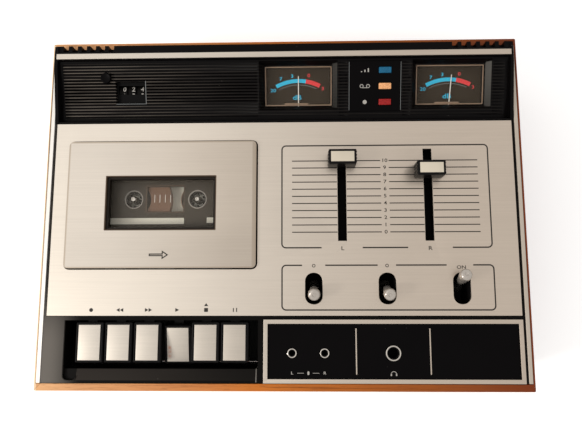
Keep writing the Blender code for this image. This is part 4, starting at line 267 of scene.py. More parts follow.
def litCorner(finish, tone):
    # painted reflections and highlights: the front left corner of the moulding mirrors the light, and so does
    # the sloped lip of the key well; a thin upright edge at the well's right end catches it too
    corner = {"top": 0.0845, "colour": (0.15, 0.135, 0.12)}
    lip = {"front": -0.1065, "back": -0.0998, "left": -0.128, "right": -0.0149,
           "colour": (0.05, 0.042, 0.036)}
    edge = {"x": 0.0160, "half": 0.0003, "front": -0.1075, "back": -0.0945, "colour": (0.22, 0.20, 0.18)}
    x, y, z = finish.axes()
    glint = finish.fade(x, -0.147, -0.125, 1.0, 0.0) * finish.fade(y, -0.085, -0.045, 1.0, 0.15)
    tone = finish.blend(glint * (z > corner["top"]) * 0.84, tone, corner["colour"])
    sloped = (y > lip["front"]) * (y < lip["back"]) * (x > lip["left"]) * (x < lip["right"])
    tone = finish.blend(sloped * finish.fade(x, -0.13, -0.01, 0.5, 0.08), tone, lip["colour"])
    uprightHighlight = (abs(x + edge["x"]) < edge["half"]) * (y > edge["front"]) * (y < edge["back"])
    return finish.blend(uprightHighlight * 0.8, tone, edge["colour"])


def shadeAlong(number, low, high, colour, first=0.0, last=1.0, way="MULTIPLY"):
    # a look that goes over to a colour along one of the axes
    def lit(finish, tone):
        share = finish.fade(finish.axis(number), low, high, first, last)
        return finish.blend(share, tone, colour, way)
    return lit


# painted shade: the faceplate and trims darken towards the right, and the levers low down in the slots
litPlate = shadeAlong(0, -0.12, 0.13, (0.84, 0.785, 0.745))  # its right end lies further from the light
litTrim = shadeAlong(0, -0.05, 0.12, (0.66, 0.60, 0.53))  # the right trim is turned away from the light
litLever = shadeAlong(2, 0.0795, 0.0885, (0.05, 0.045, 0.04), 1.0, 0.0, "MIX")  # shaded in the slots


def shadedBase(finish, tone):
    # painted shade: the base plate is darkened inside, where the key well looks down on it
    return finish.blend((finish.axis(2) > 0.0085) * 0.98, tone, (0.006, 0.006, 0.006))


def litLid(finish, tone):
    # painted shade: the lid darkens towards the right and the front, and its rolled edges turn away from the
    # light, most of all at the right
    lid = {"x": -0.0775, "y": 0.0034, "halfWidth": 0.061, "halfDepth": 0.041}
    x, y = finish.axis(0) - lid["x"], finish.axis(1) - lid["y"]
    tone = finish.blend(finish.fade(x, -0.05, 0.07), tone, (0.86, 0.82, 0.78), "MULTIPLY")
    tone = finish.blend(finish.fade(y, -0.035, 0.0, 1.0, 0.0), tone, (0.92, 0.92, 0.92), "MULTIPLY")
    sides = finish.fade(abs(x) - lid["halfWidth"], -0.0013, -0.0007)
    ends = finish.fade(abs(y) - lid["halfDepth"], -0.0012, -0.0006)
    tone = finish.blend(finish.math("MAXIMUM", sides, ends) * 0.75, tone, (0.32, 0.26, 0.20))
    return finish.blend(finish.fade(x, 0.0580, 0.0590) * 0.7, tone, (0.30, 0.245, 0.19))


def printingInk(name, colour):
    finish = Finish(name, {"Specular IOR Level": 0.25})
    wear = finish.noise(1400, 3.0, 0.6)
    finish.bump(wear, 0.08, 0.00003)
    tone = finish.blend(wear, tinted(colour, 0.82), tinted(colour, 1.15))
    return finish.paint(tone, wear * 0.2 + 0.4)


def clearPane(name, colour, opacity, roughness):
    finish = Finish(name, {"Alpha": opacity, "IOR": 1.49, "Specular IOR Level": 0.12})
    haze = finish.noise(45, 3.0, 0.6)
    tone = finish.blend(haze, tinted(colour, 0.85), tinted(colour, 1.1))
    return finish.paint(tone, haze * 0.08 + roughness)


def lampLens(name, colour, glow):
    finish = Finish(name, {"Specular IOR Level": 0.2, "Emission Strength": glow})
    facets = finish.add("ShaderNodeTexVoronoi", None, {"Vector": finish.spots(), "Scale": 1300.0})
    tone = finish.blend(finish.fade(facets, 0.0, 0.8), tinted(colour, 1.15), tinted(colour, 0.7))
    finish.feed(finish.shader.inputs["Emission Color"], tone)
    finish.bump(facets, 0.15, 0.0001)
    return finish.paint(tone, facets * 0.12 + 0.18)


def woundTape(name, centre):
    # fine turns and broader bands, round the centre of the reel
    finish = Finish(name, {"Specular IOR Level": 0.5})
    flat = {0: finish.spots((1, 1, 0), centre)}
    reach = finish.add("ShaderNodeVectorMath", {"operation": "LENGTH"}, flat, "Value")
    line = {"noise_dimensions": "1D"}
    turns = finish.add("ShaderNodeTexNoise", line, {"W": reach * 5200.0, "Detail": 3.0})
    bands = finish.add("ShaderNodeTexNoise", line, {"W": reach * 700.0, "Detail": 2.0})
    tone = finish.blend(turns * 0.6 + bands * 0.4, (0.16, 0.075, 0.040), (0.30, 0.155, 0.09))
    finish.bump(turns, 0.15, 0.00005)
    return finish.paint(tone, turns * 0.15 + 0.32)


def keyMetal():
    # brushed like the faceplate, with the varnish rubbed off the left edge of the play key
    rubbed = {"x": 0.0717, "y": 0.0895, "colour": (0.42, 0.14, 0.06)}
    finish = Finish("keyAluminium", {"Metallic": 0.6})
    lines = finish.noise(1.0, 3.0, 0.65, (45, 3000, 3000))
    tone = finish.blend(finish.fade(lines, 0.3, 0.7), (0.465, 0.425, 0.375), (0.51, 0.465, 0.41))
    x, y = finish.axis(0), finish.axis(1)
    wavy = abs(x + rubbed["x"] - finish.noise(160) * 0.0016)
    patch = finish.fade(wavy, 0.0002, 0.0016, 1.0, 0.0)
    patch = patch * finish.fade(abs(y + rubbed["y"]), 0.001, 0.0055, 1.0, 0.0)
    patch = patch * finish.fade(finish.noise(420), 0.35, 0.6)
    tone = finish.blend(patch * 0.8, tone, rubbed["colour"])
    finish.bump(lines, 0.10, 0.00004)
    # painted shade: the keys darken towards the right, away from the light
    tone = finish.blend(finish.fade(x, -0.12, 0.0), tone, (0.86, 0.84, 0.82), "MULTIPLY")
    return finish.paint(tone, lines * 0.14 + 0.42)


ink = {"black": (0.018, 0.015, 0.012), "white": (0.80, 0.76, 0.68), "blue": (0.03, 0.50, 0.74),
       "red": (0.75, 0.05, 0.055), "gold": (0.30, 0.20, 0.13), "grey": (0.20, 0.21, 0.21),
       "pale": (0.38, 0.36, 0.33), "brown": (0.085, 0.055, 0.035)}
finishes = {
    "wood": walnutVeneer(),
    "faceplate": brushedMetal("brushedFaceplate", (0.585, 0.53, 0.463), metallic=0.75, lit=litPlate),
    "lid": brushedMetal("brushedLid", (0.515, 0.465, 0.408), 0.33, metallic=0.75, lit=litLid),
    "trim": brushedMetal("satinTrim", (0.55, 0.497, 0.43), 0.38, metallic=0.75, lit=litPlate),
    "sideTrim": brushedMetal("satinSideTrim", (0.71, 0.68, 0.64), 0.38, "y", metallic=0.5, lit=litTrim),
    "key": keyMetal(),
    "chrome": brushedMetal("polishedChrome", (0.47, 0.435, 0.39), 0.18, "round", 0.05, 0.05),
    "lever": brushedMetal("leverChrome", (0.42, 0.38, 0.34), 0.22, "round", 0.10, 0.15, 0.6, litLever),
    "zinc": brushedMetal("zincSheet", (0.52, 0.51, 0.48), 0.42, "round", 0.12, 0.3),
    "basePlate": brushedMetal("basePlateSheet", (0.52, 0.51, 0.48), 0.42, "round", 0.12, 0.3, 0.9,
                              shadedBase),
    "brass": brushedMetal("turnedBrass", (0.72, 0.50, 0.20), 0.30, "round"),
    "black": mouldedPlastic("blackMoulding", (0.0030, 0.0025, 0.0022), 0.42, shine=0.045, dust=0.3,
                            lit=litCorner),
    "bridge": mouldedPlastic("blackBridge", (0.0024, 0.0019, 0.0020), 0.30, shine=0.05, dust=0.35,
                             lit=litRibs),
    "gloss": mouldedPlastic("satinBlackPlate", (0.0024, 0.0020, 0.0022), 0.40, 900, 0.028, 0.12, 0.02),
    "dark": mouldedPlastic("blackenedInside", (0.0035, 0.0032, 0.0032), 0.6, shine=0.05),
    "keyBody": mouldedPlastic("blackKeyBody", (0.0038, 0.0034, 0.0034), 0.3, shine=0.08),
    "lidInside": mouldedPlastic("brownLidFrame", (0.016, 0.012, 0.009), 0.4, shine=0.12),
    "smoke": mouldedPlastic("smokedShell", (0.052, 0.042, 0.031), 0.34, 1500, 0.12),
    "hubRing": mouldedPlastic("greyHubRing", (0.30, 0.27, 0.235), 0.3, 1500, 0.4),
    "capCream": mouldedPlastic("creamKnobTop", (0.56, 0.50, 0.40), 0.4, shine=0.3),
    "paper": mouldedPlastic("labelPaper", (0.72, 0.68, 0.57), 0.6, 1200),
    "liner": mouldedPlastic("slipSheet", (0.86, 0.80, 0.68), 0.45),
    "rubber": mouldedPlastic("feetRubber", (0.022, 0.021, 0.02), 0.75, 1800, 0.25, relief=0.2),
    "laminate": mouldedPlastic("boardLaminate", (0.22, 0.13, 0.05), 0.55),
    "meterCard": mouldedPlastic("meterCard", (0.030, 0.022, 0.014), 0.5, 1500, 0.06),
    "pane": clearPane("clearPane", (0.26, 0.22, 0.18), 0.04, 0.05),
    "lidPane": clearPane("lidPane", (0.30, 0.27, 0.23), 0.07, 0.06),
    "supplyTape": woundTape("supplyTape", (-0.09925, 0.0085, 0)),
    "takeupTape": woundTape("takeupTape", (-0.05675, 0.0085, 0)),
    "blueLens": lampLens("blueLens", (0.008, 0.115, 0.225), 0.06),
    "amberLens": lampLens("amberLens", (0.72, 0.35, 0.155), 0.25),
    "redLens": lampLens("redLens", (0.32, 0.012, 0.012), 0.06),
    "redPlug": mouldedPlastic("redPlugRing", (0.45, 0.02, 0.02), 0.35, shine=0.5),
    "whitePlug": mouldedPlastic("whitePlugRing", (0.7, 0.68, 0.63), 0.35, shine=0.5),
}
for name, colour in ink.items():
    finishes[name + "Ink"] = printingInk(name + "Ink", colour)
print("finishes made:", len(finishes))


# Making shapes: each call adds one closed form to a bmesh
def absorb(shape, other, turn=None):
    if turn:
        bmesh.ops.transform(other, matrix=turn, verts=other.verts)
    mesh = bpy.data.meshes.new("part")
    other.to_mesh(mesh)
    other.free()
    shape.from_mesh(mesh)
    bpy.data.meshes.remove(mesh)
    return shape


def addBlock(shape, low, high, edge=0.0, segments=2, turn=None):
    # a box between two corners, its edges rounded
    block = bmesh.new()
    size = Vector(high) - Vector(low)
    place = Matrix.Translation((Vector(high) + Vector(low)) / 2) @ Matrix.Diagonal((*size, 1))
    bmesh.ops.create_cube(block, size=1, matrix=place)
    if edge:
        bmesh.ops.bevel(block, geom=block.edges, offset=edge, offset_type="OFFSET", segments=segments,
                        profile=0.5, affect="EDGES", clamp_overlap=True, material=-1)
    return absorb(shape, block, turn)


def addTurned(shape, profile, centre, axis="Z", steps=48):
    # a shape turned round an axis: the profile is pairs of radius and height
    ring = bmesh.new()
    spots = [ring.verts.new((radius, 0, height)) for radius, height in profile]
    for first, second in zip(spots, spots[1:]):
        ring.edges.new((first, second))
    bmesh.ops.spin(ring, geom=ring.verts[:] + ring.edges[:], cent=(0, 0, 0), axis=(0, 0, 1),
                   angle=2 * math.pi, steps=steps, use_merge=True)
    bmesh.ops.remove_doubles(ring, verts=ring.verts, dist=0.0005)
    bmesh.ops.recalc_face_normals(ring, faces=ring.faces)
    turns = {"Z": Matrix.Identity(4), "X": Matrix.Rotation(math.pi / 2, 4, "Y"),
             "Y": Matrix.Rotation(-math.pi / 2, 4, "X")}
    return absorb(shape, ring, Matrix.Translation(centre) @ turns[axis])


def addArc(shape, centre, radius, start, end, width, low, high, steps=24):
    # part of a flat ring, between two angles in degrees from the right
    arc = bmesh.new()
    inner, outer = radius - width / 2, radius + width / 2
    corners = [arc.verts.new((reach, 0, height)) for reach, height in (
        (inner, low), (outer, low), (outer, high), (inner, high))]
    for first, second in zip(corners, corners[1:] + corners[:1]):
        arc.edges.new((first, second))
    turn = Matrix.Rotation(math.radians(start), 3, "Z")
    bmesh.ops.rotate(arc, verts=arc.verts, cent=(0, 0, 0), matrix=turn)
    bmesh.ops.spin(arc, geom=arc.verts[:] + arc.edges[:], cent=(0, 0, 0), axis=(0, 0, 1),
                   angle=math.radians(end - start), steps=steps, use_merge=False)
    bmesh.ops.holes_fill(arc, edges=[edge for edge in arc.edges if edge.is_boundary], sides=4)
    bmesh.ops.recalc_face_normals(arc, faces=arc.faces)
    return absorb(shape, arc, Matrix.Translation(centre))


def addSheet(shape, points, low, high, width=0.0, gaps=()):
    # a flat form with the outline of the points, or only a line of some width along it, open in the gaps
    sheet = bmesh.new()
    sheet.faces.new([sheet.verts.new((x, y, low)) for x, y in points])
    sheet.normal_update()
    if width:
        inner = bmesh.ops.inset_region(sheet, faces=sheet.faces[:], thickness=width, use_even_offset=True,
                                       use_boundary=True)
        band = set(inner["faces"])
        bmesh.ops.delete(sheet, geom=[face for face in sheet.faces if face not in band], context="FACES")
        middles = [(face, face.calc_center_median()) for face in sheet.faces]
        inside = [face for face, spot in middles if any(
            box[0] < spot.x < box[1] and box[2] < spot.y < box[3] for box in gaps)]
        if inside:
            bmesh.ops.delete(sheet, geom=inside, context="FACES")
    top = bmesh.ops.extrude_face_region(sheet, geom=sheet.faces[:], use_keep_orig=True)
    raised = [part for part in top["geom"] if isinstance(part, bmesh.types.BMVert)]
    bmesh.ops.translate(sheet, vec=(0, 0, high - low), verts=raised)
    bmesh.ops.recalc_face_normals(sheet, faces=sheet.faces)
    return absorb(shape, sheet)


def addHoled(shape, outlines, low, high):
    # a flat plate from outlines: the first is its edge, the others are holes
    curve = bpy.data.curves.new("outline", "CURVE")
    curve.dimensions = "2D"
    curve.fill_mode = "BOTH"
    curve.extrude = (high - low) / 2
    for points in outlines:
        line = curve.splines.new("POLY")
        line.points.add(len(points) - 1)
        for spot, (x, y) in zip(line.points, points):
            spot.co = (x, y, 0, 1)
        line.use_cyclic_u = True
    return addCurve(shape, curve, Matrix.Translation((0, 0, (high + low) / 2)))


def addText(shape, words, size, centre, low, high, wide=1.25):
    curve = bpy.data.curves.new("lettering", "FONT")
    curve.body = words
    curve.size = size
    curve.extrude = (high - low) / 2
    curve.align_x = "CENTER"
    curve.align_y = "CENTER"
    curve.resolution_u = 3
    curve.offset = size * 0.014  # a little bolder than the plain face, and wider
    return addCurve(shape, curve, Matrix.Translation((centre[0], centre[1], (high + low) / 2))
                    @ Matrix.Diagonal((wide, 1, 1, 1)))


def addCurve(shape, curve, place):
    # a flat curve or text, made a mesh and then placed
    guide = addObject("guide", curve)
    bpy.context.view_layer.update()
    mesh = bpy.data.meshes.new_from_object(guide.evaluated_get(bpy.context.evaluated_depsgraph_get()))
    bpy.data.objects.remove(guide, do_unlink=True)
    flat = bmesh.new()
    flat.from_mesh(mesh)
    bpy.data.meshes.remove(mesh)
    bmesh.ops.remove_doubles(flat, verts=flat.verts, dist=0.001)
    bmesh.ops.recalc_face_normals(flat, faces=flat.faces)
    return absorb(shape, flat, place)


def roundedCorners(centre, width, depth, radius, steps=8):
    points = []
    for quarter, (sideX, sideY) in enumerate(((1, 1), (-1, 1), (-1, -1), (1, -1))):
        for step in range(steps + 1):
            angle = (quarter + step / steps) * math.pi / 2
            points.append((centre[0] + sideX * (width / 2 - radius) + radius * math.cos(angle),
                           centre[1] + sideY * (depth / 2 - radius) + radius * math.sin(angle)))
    return points


def makeRim(outer, inner, low, high):
    # a flat frame; each outline is a middle, a width, a depth, a corner radius and the steps of a corner
    return addHoled(bmesh.new(), [roundedCorners(*outer), roundedCorners(*inner)], low, high)


def circle(centre, radius, steps=40):
    return [(centre[0] + radius * math.cos(2 * math.pi * step / steps),
             centre[1] + radius * math.sin(2 * math.pi * step / steps)) for step in range(steps)]


def addObject(name, data):
    added = bpy.data.objects.new(name, data)
    bpy.context.scene.collection.objects.link(added)
    return added


def addMesh(name, shape):
    mesh = bpy.data.meshes.new(name)
    shape.to_mesh(mesh)
    shape.free()
    return addObject(name, mesh)


def makePiece(name, shape, turn, finish, node=None, body=None, bevel=0.0, segments=3, sharp=32):
    # puts a bmesh into the scene as a piece that rides a body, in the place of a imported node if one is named
    bmesh.ops.transform(shape, matrix=turn, verts=shape.verts)
    piece = addMesh(name, shape)
    mesh = piece.data
    mesh.materials.append(finishes[finish])
    mesh.shade_smooth()
    if bevel:
        rounding = piece.modifiers.new("roundedEdges", "BEVEL")
        rounding.width = bevel * mm
        rounding.segments = segments
        rounding.limit_method = "ANGLE"
        rounding.angle_limit = math.radians(sharp)
        rounding.harden_normals = True
        rounding.miter_outer = "MITER_ARC"
    mesh.set_sharp_from_angle(angle=math.radians(min(sharp, 20) if bevel else sharp))
    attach(piece, body or (bodyOf[node] if node else "chassis"))
    if node:
        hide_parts(node)


def dressNode(node, name, finish, bevel=0.2, segments=3, sharp=32, dissolve=True):
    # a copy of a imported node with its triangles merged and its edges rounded
    shape = bmesh.new()
    shape.from_mesh(frame["nodes"][node].data)
    bmesh.ops.remove_doubles(shape, verts=shape.verts, dist=0.00001)
    if bevel and dissolve:
        bmesh.ops.dissolve_limit(shape, angle_limit=math.radians(0.5), verts=shape.verts, edges=shape.edges)
    makePiece(name, shape, Matrix.Identity(4), finish, node, None, bevel, segments, sharp)


# Cabinet, trims and feet
def makeCabinet():
    dressNode("wood_cabinet", "woodCabinet", "wood", 0.35)
    for side in ("left", "right"):
        dressNode("side_trim_" + side, "sideTrim" + side.title(), "sideTrim", 0.25)
    foot = {"radius": 11.0, "lower": 9.5, "height": 7.7, "edge": 1.2, "dish": 5.2, "dishDepth": 1.6}
    foot["profile"] = [
        (0, foot["dishDepth"]), (foot["dish"], foot["dishDepth"]), (foot["dish"] + 0.4, 0.4),
        (foot["dish"] + 0.9, 0), (foot["lower"] - foot["edge"], 0), (foot["lower"] - 0.35, 0.35),
        (foot["lower"], foot["edge"]), (foot["radius"] - 0.1, foot["height"] - 0.5),
        (foot["radius"] - 0.3, foot["height"]), (0, foot["height"])]
    screwProfile = [(0, 1.3), (1.6, 1.3), (3.4, 0.75), (3.5, 1.7), (0, 1.7)]
    for corner in ("front_left", "front_right", "back_left", "back_right"):
        title = corner.title().replace("_", "")
        low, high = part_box("foot_" + corner)
        centre = ((low.x + high.x) / 2 / mm, (low.y + high.y) / 2 / mm, low.z / mm)
        shape = addTurned(bmesh.new(), foot["profile"], centre)
        makePiece("foot" + title, shape, rowFrame, "rubber", "foot_" + corner)
        screw = addTurned(bmesh.new(), screwProfile, centre)
        makePiece("footScrew" + title, screw, rowFrame, "zinc")


# Black moulding with key well and jack recess, faceplate and its printing
def makeTop():
    dressNode("top_moulding", "topMoulding", "black", 0, sharp=15)
    dressNode("faceplate", "facePlate", "faceplate", 0.18, dissolve=False)
    printed = {"low": -0.01, "high": 0.03, "line": 0.85, "thin": 0.62, "corner": 3.0,
               "scaleBottom": -10.0, "scalePitch": 4.62, "numbers": 65.85, "numberSize": 3.2,
               "scaleParts": ((6.4, 35.2), (41.4, 63.2), (68.5, 90.2), (96.4, 125.1)),
               "letters": ((38.3, "L"), (93.3, "R")), "letterY": -20.4, "letterSize": 3.4,
               "on": (112.1, -32.4), "onSize": 3.0,
               "rings": (19.95, 65.9), "ringY": -31.2, "ringRadius": 1.1, "ringLine": 0.42}
    # outlines: middle, size, the edge with the gaps, the gaps' reach across it and along it
    printed["panels"] = (
        ((65.9, 13.2), (132.8, 67.0), -1, (-22, -18), ((25.0, 50.9), (79.4, 107.3))),
        ((66.1, -44.8), (133.0, 28.6), 1, (-32, -29), ((12.6, 27.2), (60.0, 71.5), (103.0, 119.5))))
    low, high = printed["low"], printed["high"]
    shape = bmesh.new()
    for number in range(11):
        y = printed["scaleBottom"] + number * printed["scalePitch"]
        for first, last in printed["scaleParts"]:
            addBlock(shape, (first, y - printed["thin"] / 2, low), (last, y + printed["thin"] / 2, high))
        addText(shape, str(number), printed["numberSize"], (printed["numbers"], y), low, high)
    for centre, size, edgeSide, across, gaps in printed["panels"]:
        edgeY = centre[1] + edgeSide * size[1] / 2
        corners = roundedCorners(centre, *size, printed["corner"])
        points = []
        for first, second in zip(corners, corners[1:] + corners[:1]):
            points.append(first)
            onEdge = max(abs(first[1] - edgeY), abs(second[1] - edgeY)) < 0.01
            if onEdge and abs(first[0] - second[0]) > printed["corner"]:
                stops = sorted((stop for gap in gaps for stop in gap), reverse=second[0] < first[0])
                points += [(stop, edgeY) for stop in stops]
        addSheet(shape, points, low, high, printed["line"], [gap + across for gap in gaps])
    for x, letter in printed["letters"]:
        addText(shape, letter, printed["letterSize"], (x, printed["letterY"]), low, high)
    addText(shape, "ON", printed["onSize"], printed["on"], low, high)
    for x in printed["rings"]:
        ring = circle((x, printed["ringY"]), printed["ringRadius"], 24)
        addSheet(shape, ring, low, high, printed["ringLine"])
    makeKeySigns(shape, low, high)
    makePiece("facePrinting", shape, plateFrame, "blackInk")


def triangle(x, y, width, height, way=1):
    back, tip = x - way * width / 2, x + way * width / 2
    return [(back, y - height / 2), (tip, y), (back, y + height / 2)][::way]


def makeKeySigns(shape, low, high):
    # plain transport signs over the keys
    sign = {"y": -58.6, "size": 2.4, "first": -120.0, "pitch": 18.13}
    y, size = sign["y"], sign["size"]
    spot = [sign["first"] + number * sign["pitch"] for number in range(6)]
    addSheet(shape, circle((spot[0], y), size / 2, 28), low, high)
    for offset in (-0.48, 0.48):
        addSheet(shape, triangle(spot[1] + offset * size, y, size * 0.9, size, -1), low, high)
        addSheet(shape, triangle(spot[2] + offset * size, y, size * 0.9, size), low, high)
    addSheet(shape, triangle(spot[3], y, size, size), low, high)
    addBlock(shape, (spot[4] - size / 2, y - size / 2, low), (spot[4] + size / 2, y + size / 2, high))
    half, foot = size * 0.55, y + size
    addSheet(shape, [(spot[4] - half, foot), (spot[4] + half, foot), (spot[4], y + size * 1.75)], low, high)
    for offset in (-0.42, 0.42):
        middle = spot[5] + offset * size
        addBlock(shape, (middle - 0.3, y - size / 2, low), (middle + 0.3, y + size / 2, high))


# Lid with its window and the arrow
def makeLid():
    window = (-77.9, 9.15)
    lid = {"edge": ((-77.5, 8.5), 122.0, 82.0, 2.8, 12), "hole": (window, 71.6, 35.5, 0.5, 4),
           "low": 0.4, "high": 2.0, "rimEdge": (window, 71.5, 35.4, 0.6, 3),
           "rimHole": (window, 70.4, 34.3, 0.3, 3), "rimLow": 0.5, "rimHigh": 1.93}
    plate = makeRim(lid["edge"], lid["hole"], lid["low"], lid["high"])
    makePiece("lidPlate", plate, plateFrame, "lid", "lid_plate", bevel=0.45, segments=4)
    dressNode("lid_frame", "lidFrame", "lidInside", 0.5, 2)
    dressNode("lid_window", "lidWindow", "lidPane", 0.15)
    rim = makeRim(lid["rimEdge"], lid["rimHole"], lid["rimLow"], lid["rimHigh"])
    makePiece("windowRim", rim, plateFrame, "brownInk", body="lid", bevel=0.12)
    arrow = {"left": -84.2, "right": -71.8, "middle": -24.2, "shaft": 0.85, "head": 2.8, "headLength": 4.2,
             "line": 0.7}
    left, right, shaft, head = arrow["left"], arrow["right"], arrow["shaft"], arrow["head"]
    neck = right - arrow["headLength"]
    points = [(left, -shaft), (neck, -shaft), (neck, -head), (right, 0), (neck, head), (neck, shaft),
              (left, shaft)]
    points = [(x, y + arrow["middle"]) for x, y in points]
    shape = addSheet(bmesh.new(), points, lid["high"] - 0.01, lid["high"] + 0.03, arrow["line"])
    makePiece("lidArrow", shape, plateFrame, "blackInk", body="lid")


# Cassette: shell, label, window, and the two reels
def makeCassette():
    dressNode("cassette_shell", "cassetteShell", "smoke", 0.35)
    top, hubs, hubY = -12.3, {"supply": -99.25, "takeup": -56.75}, 13.6
    window = (-78.4, 14.0)
    shell = {"rimEdge": (window, 26.1, 18.6, 0.8, 4), "rimHole": (window, 24.5, 17.0, 0.5, 4),
             "pane": ((-90.6, 5.5), (-66.2, 22.5)),
             "screws": [(x, y) for y in (39.5, -17.5) for x in (-124.5, -31.5)],
             "labels": ((-120.4, -65.5, -2.9, 1.2), (-50.4, -36.0, -2.2, 1.4)),
             "ticks": (-85.4, -81.9, -78.3, -74.8), "tickHalf": 0.18, "tickEnds": (11.6, 16.8),
             "liner": ((-118, -8), (-38, 36)), "linerTop": top - 7.0}
    rim = makeRim(shell["rimEdge"], shell["rimHole"], top - 0.2, top + 0.14)
    makePiece("cassetteWindowRim", rim, plateFrame, "brownInk")
    rims, screws, label, ticks = (bmesh.new() for _ in range(4))
    ringProfile = [(5.5, -0.9), (5.5, 0.12), (5.65, 0.26), (6.1, 0.26), (6.25, 0.1), (6.25, -0.9),
                   (5.5, -0.9)]
    for x in hubs.values():
        addTurned(rims, ringProfile, (x, hubY, top), steps=64)
    screwProfile = [(0, 0.05), (0.5, 0.05), (0.7, 0.3), (1.5, 0.3), (1.7, 0.1), (1.7, -0.3), (0, -0.3)]
    for x, y in shell["screws"]:
        addTurned(screws, screwProfile, (x, y, top), steps=28)
    makePiece("shellRims", rims, plateFrame, "hubRing")
    makePiece("shellScrews", screws, plateFrame, "zinc")
    for left, right, front, back in shell["labels"]:
        addSheet(label, [(left, back), (left, front), (right, front), (right, back)], top - 0.02, top + 0.06)
    makePiece("cassetteLabel", label, plateFrame, "paper")
    front, back = shell["tickEnds"]
    for x in shell["ticks"]:
        addBlock(ticks, (x - shell["tickHalf"], front, top + 0.02), (x + shell["tickHalf"], back, top + 0.08))
    makePiece("cassetteTicks", ticks, plateFrame, "whiteInk")
    low, high = shell["pane"]
    pane = addBlock(bmesh.new(), (*low, top - 1.0), (*high, top + 0.02), 0.15)
    makePiece("cassettePane", pane, plateFrame, "pane")
    low, high = shell["liner"]
    sheet = addBlock(bmesh.new(), (*low, shell["linerTop"] - 0.15), (*high, shell["linerTop"]))
    makePiece("slipSheet", sheet, plateFrame, "liner")
    makeReels(hubs, hubY, top)


def makeReels(hubs, hubY, top):
    reel = {"coreRadius": 11.0, "flange": 5.4, "bore": 4.9, "half": 2.6, "down": 4.35, "teeth": 6,
            "toothHalf": 0.5, "toothEnds": (3.5, 5.1)}
    middle, half, flange, bore = top - reel["down"], reel["half"], reel["flange"], reel["bore"]
    tipProfile = [(0, 1.5), (0.7, 1.5), (0.8, 1.95), (1.3, 1.95), (1.9, 1.45), (2.3, 0.6), (2.4, 0.3),
                  (0, 0.3)]
    for side, node in (("supply", "cassette_hub_left"), ("takeup", "cassette_hub_right")):
        x, body = hubs[side], bodyOf[node]
        low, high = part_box(node)
        outer = (high.x - low.x) / 2 / mm
        core = min(reel["coreRadius"], outer - 0.5)
        pack = addTurned(bmesh.new(), [
            (core, -half), (core, half), (outer - 0.1, half), (outer, half - 0.1), (outer, 0.1 - half),
            (outer - 0.1, -half), (core, -half)], (x, hubY, middle), steps=96)
        makePiece(side + "Tape", pack, plateFrame, side + "Tape", body=body)
        hub = addTurned(bmesh.new(), [
            (bore, -half), (bore, half + 0.9), (flange, half + 1.0), (flange, half), (core, half),
            (core, -half), (bore, -half)], (x, hubY, middle), steps=64)
        start, end = reel["toothEnds"]
        for number in range(reel["teeth"]):
            facing = Matrix.Rotation((number + 0.5) * 2 * math.pi / reel["teeth"], 4, "Z")
            addBlock(hub, (start, -reel["toothHalf"], -half / 2), (end, reel["toothHalf"], half), 0.25, 3,
                     Matrix.Translation((x, hubY, middle)) @ facing)
        makePiece(side + "Hub", hub, plateFrame, "keyBody", node)
        dressNode("spindle_" + side, "spindle" + side.title(), "keyBody", 0.15)
        tip = addTurned(bmesh.new(), tipProfile, (x, hubY, top), steps=40)
        makePiece("spindleTip" + side.title(), tip, plateFrame, "chrome", body=body)


# Meter bridge: ribbed slope, strip, meters, lamps and counter
def makeBridge():
    dressNode("meter_bridge", "meterBridge", "bridge", 0, sharp=15)
    dressNode("bridge_strip", "bridgeStrip", "trim", 0.25)
    makeMeter("left", 10.6, 0.0)
    makeMeter("right", 111.0, -4.0)
    makeLamps()
    makeCounter()


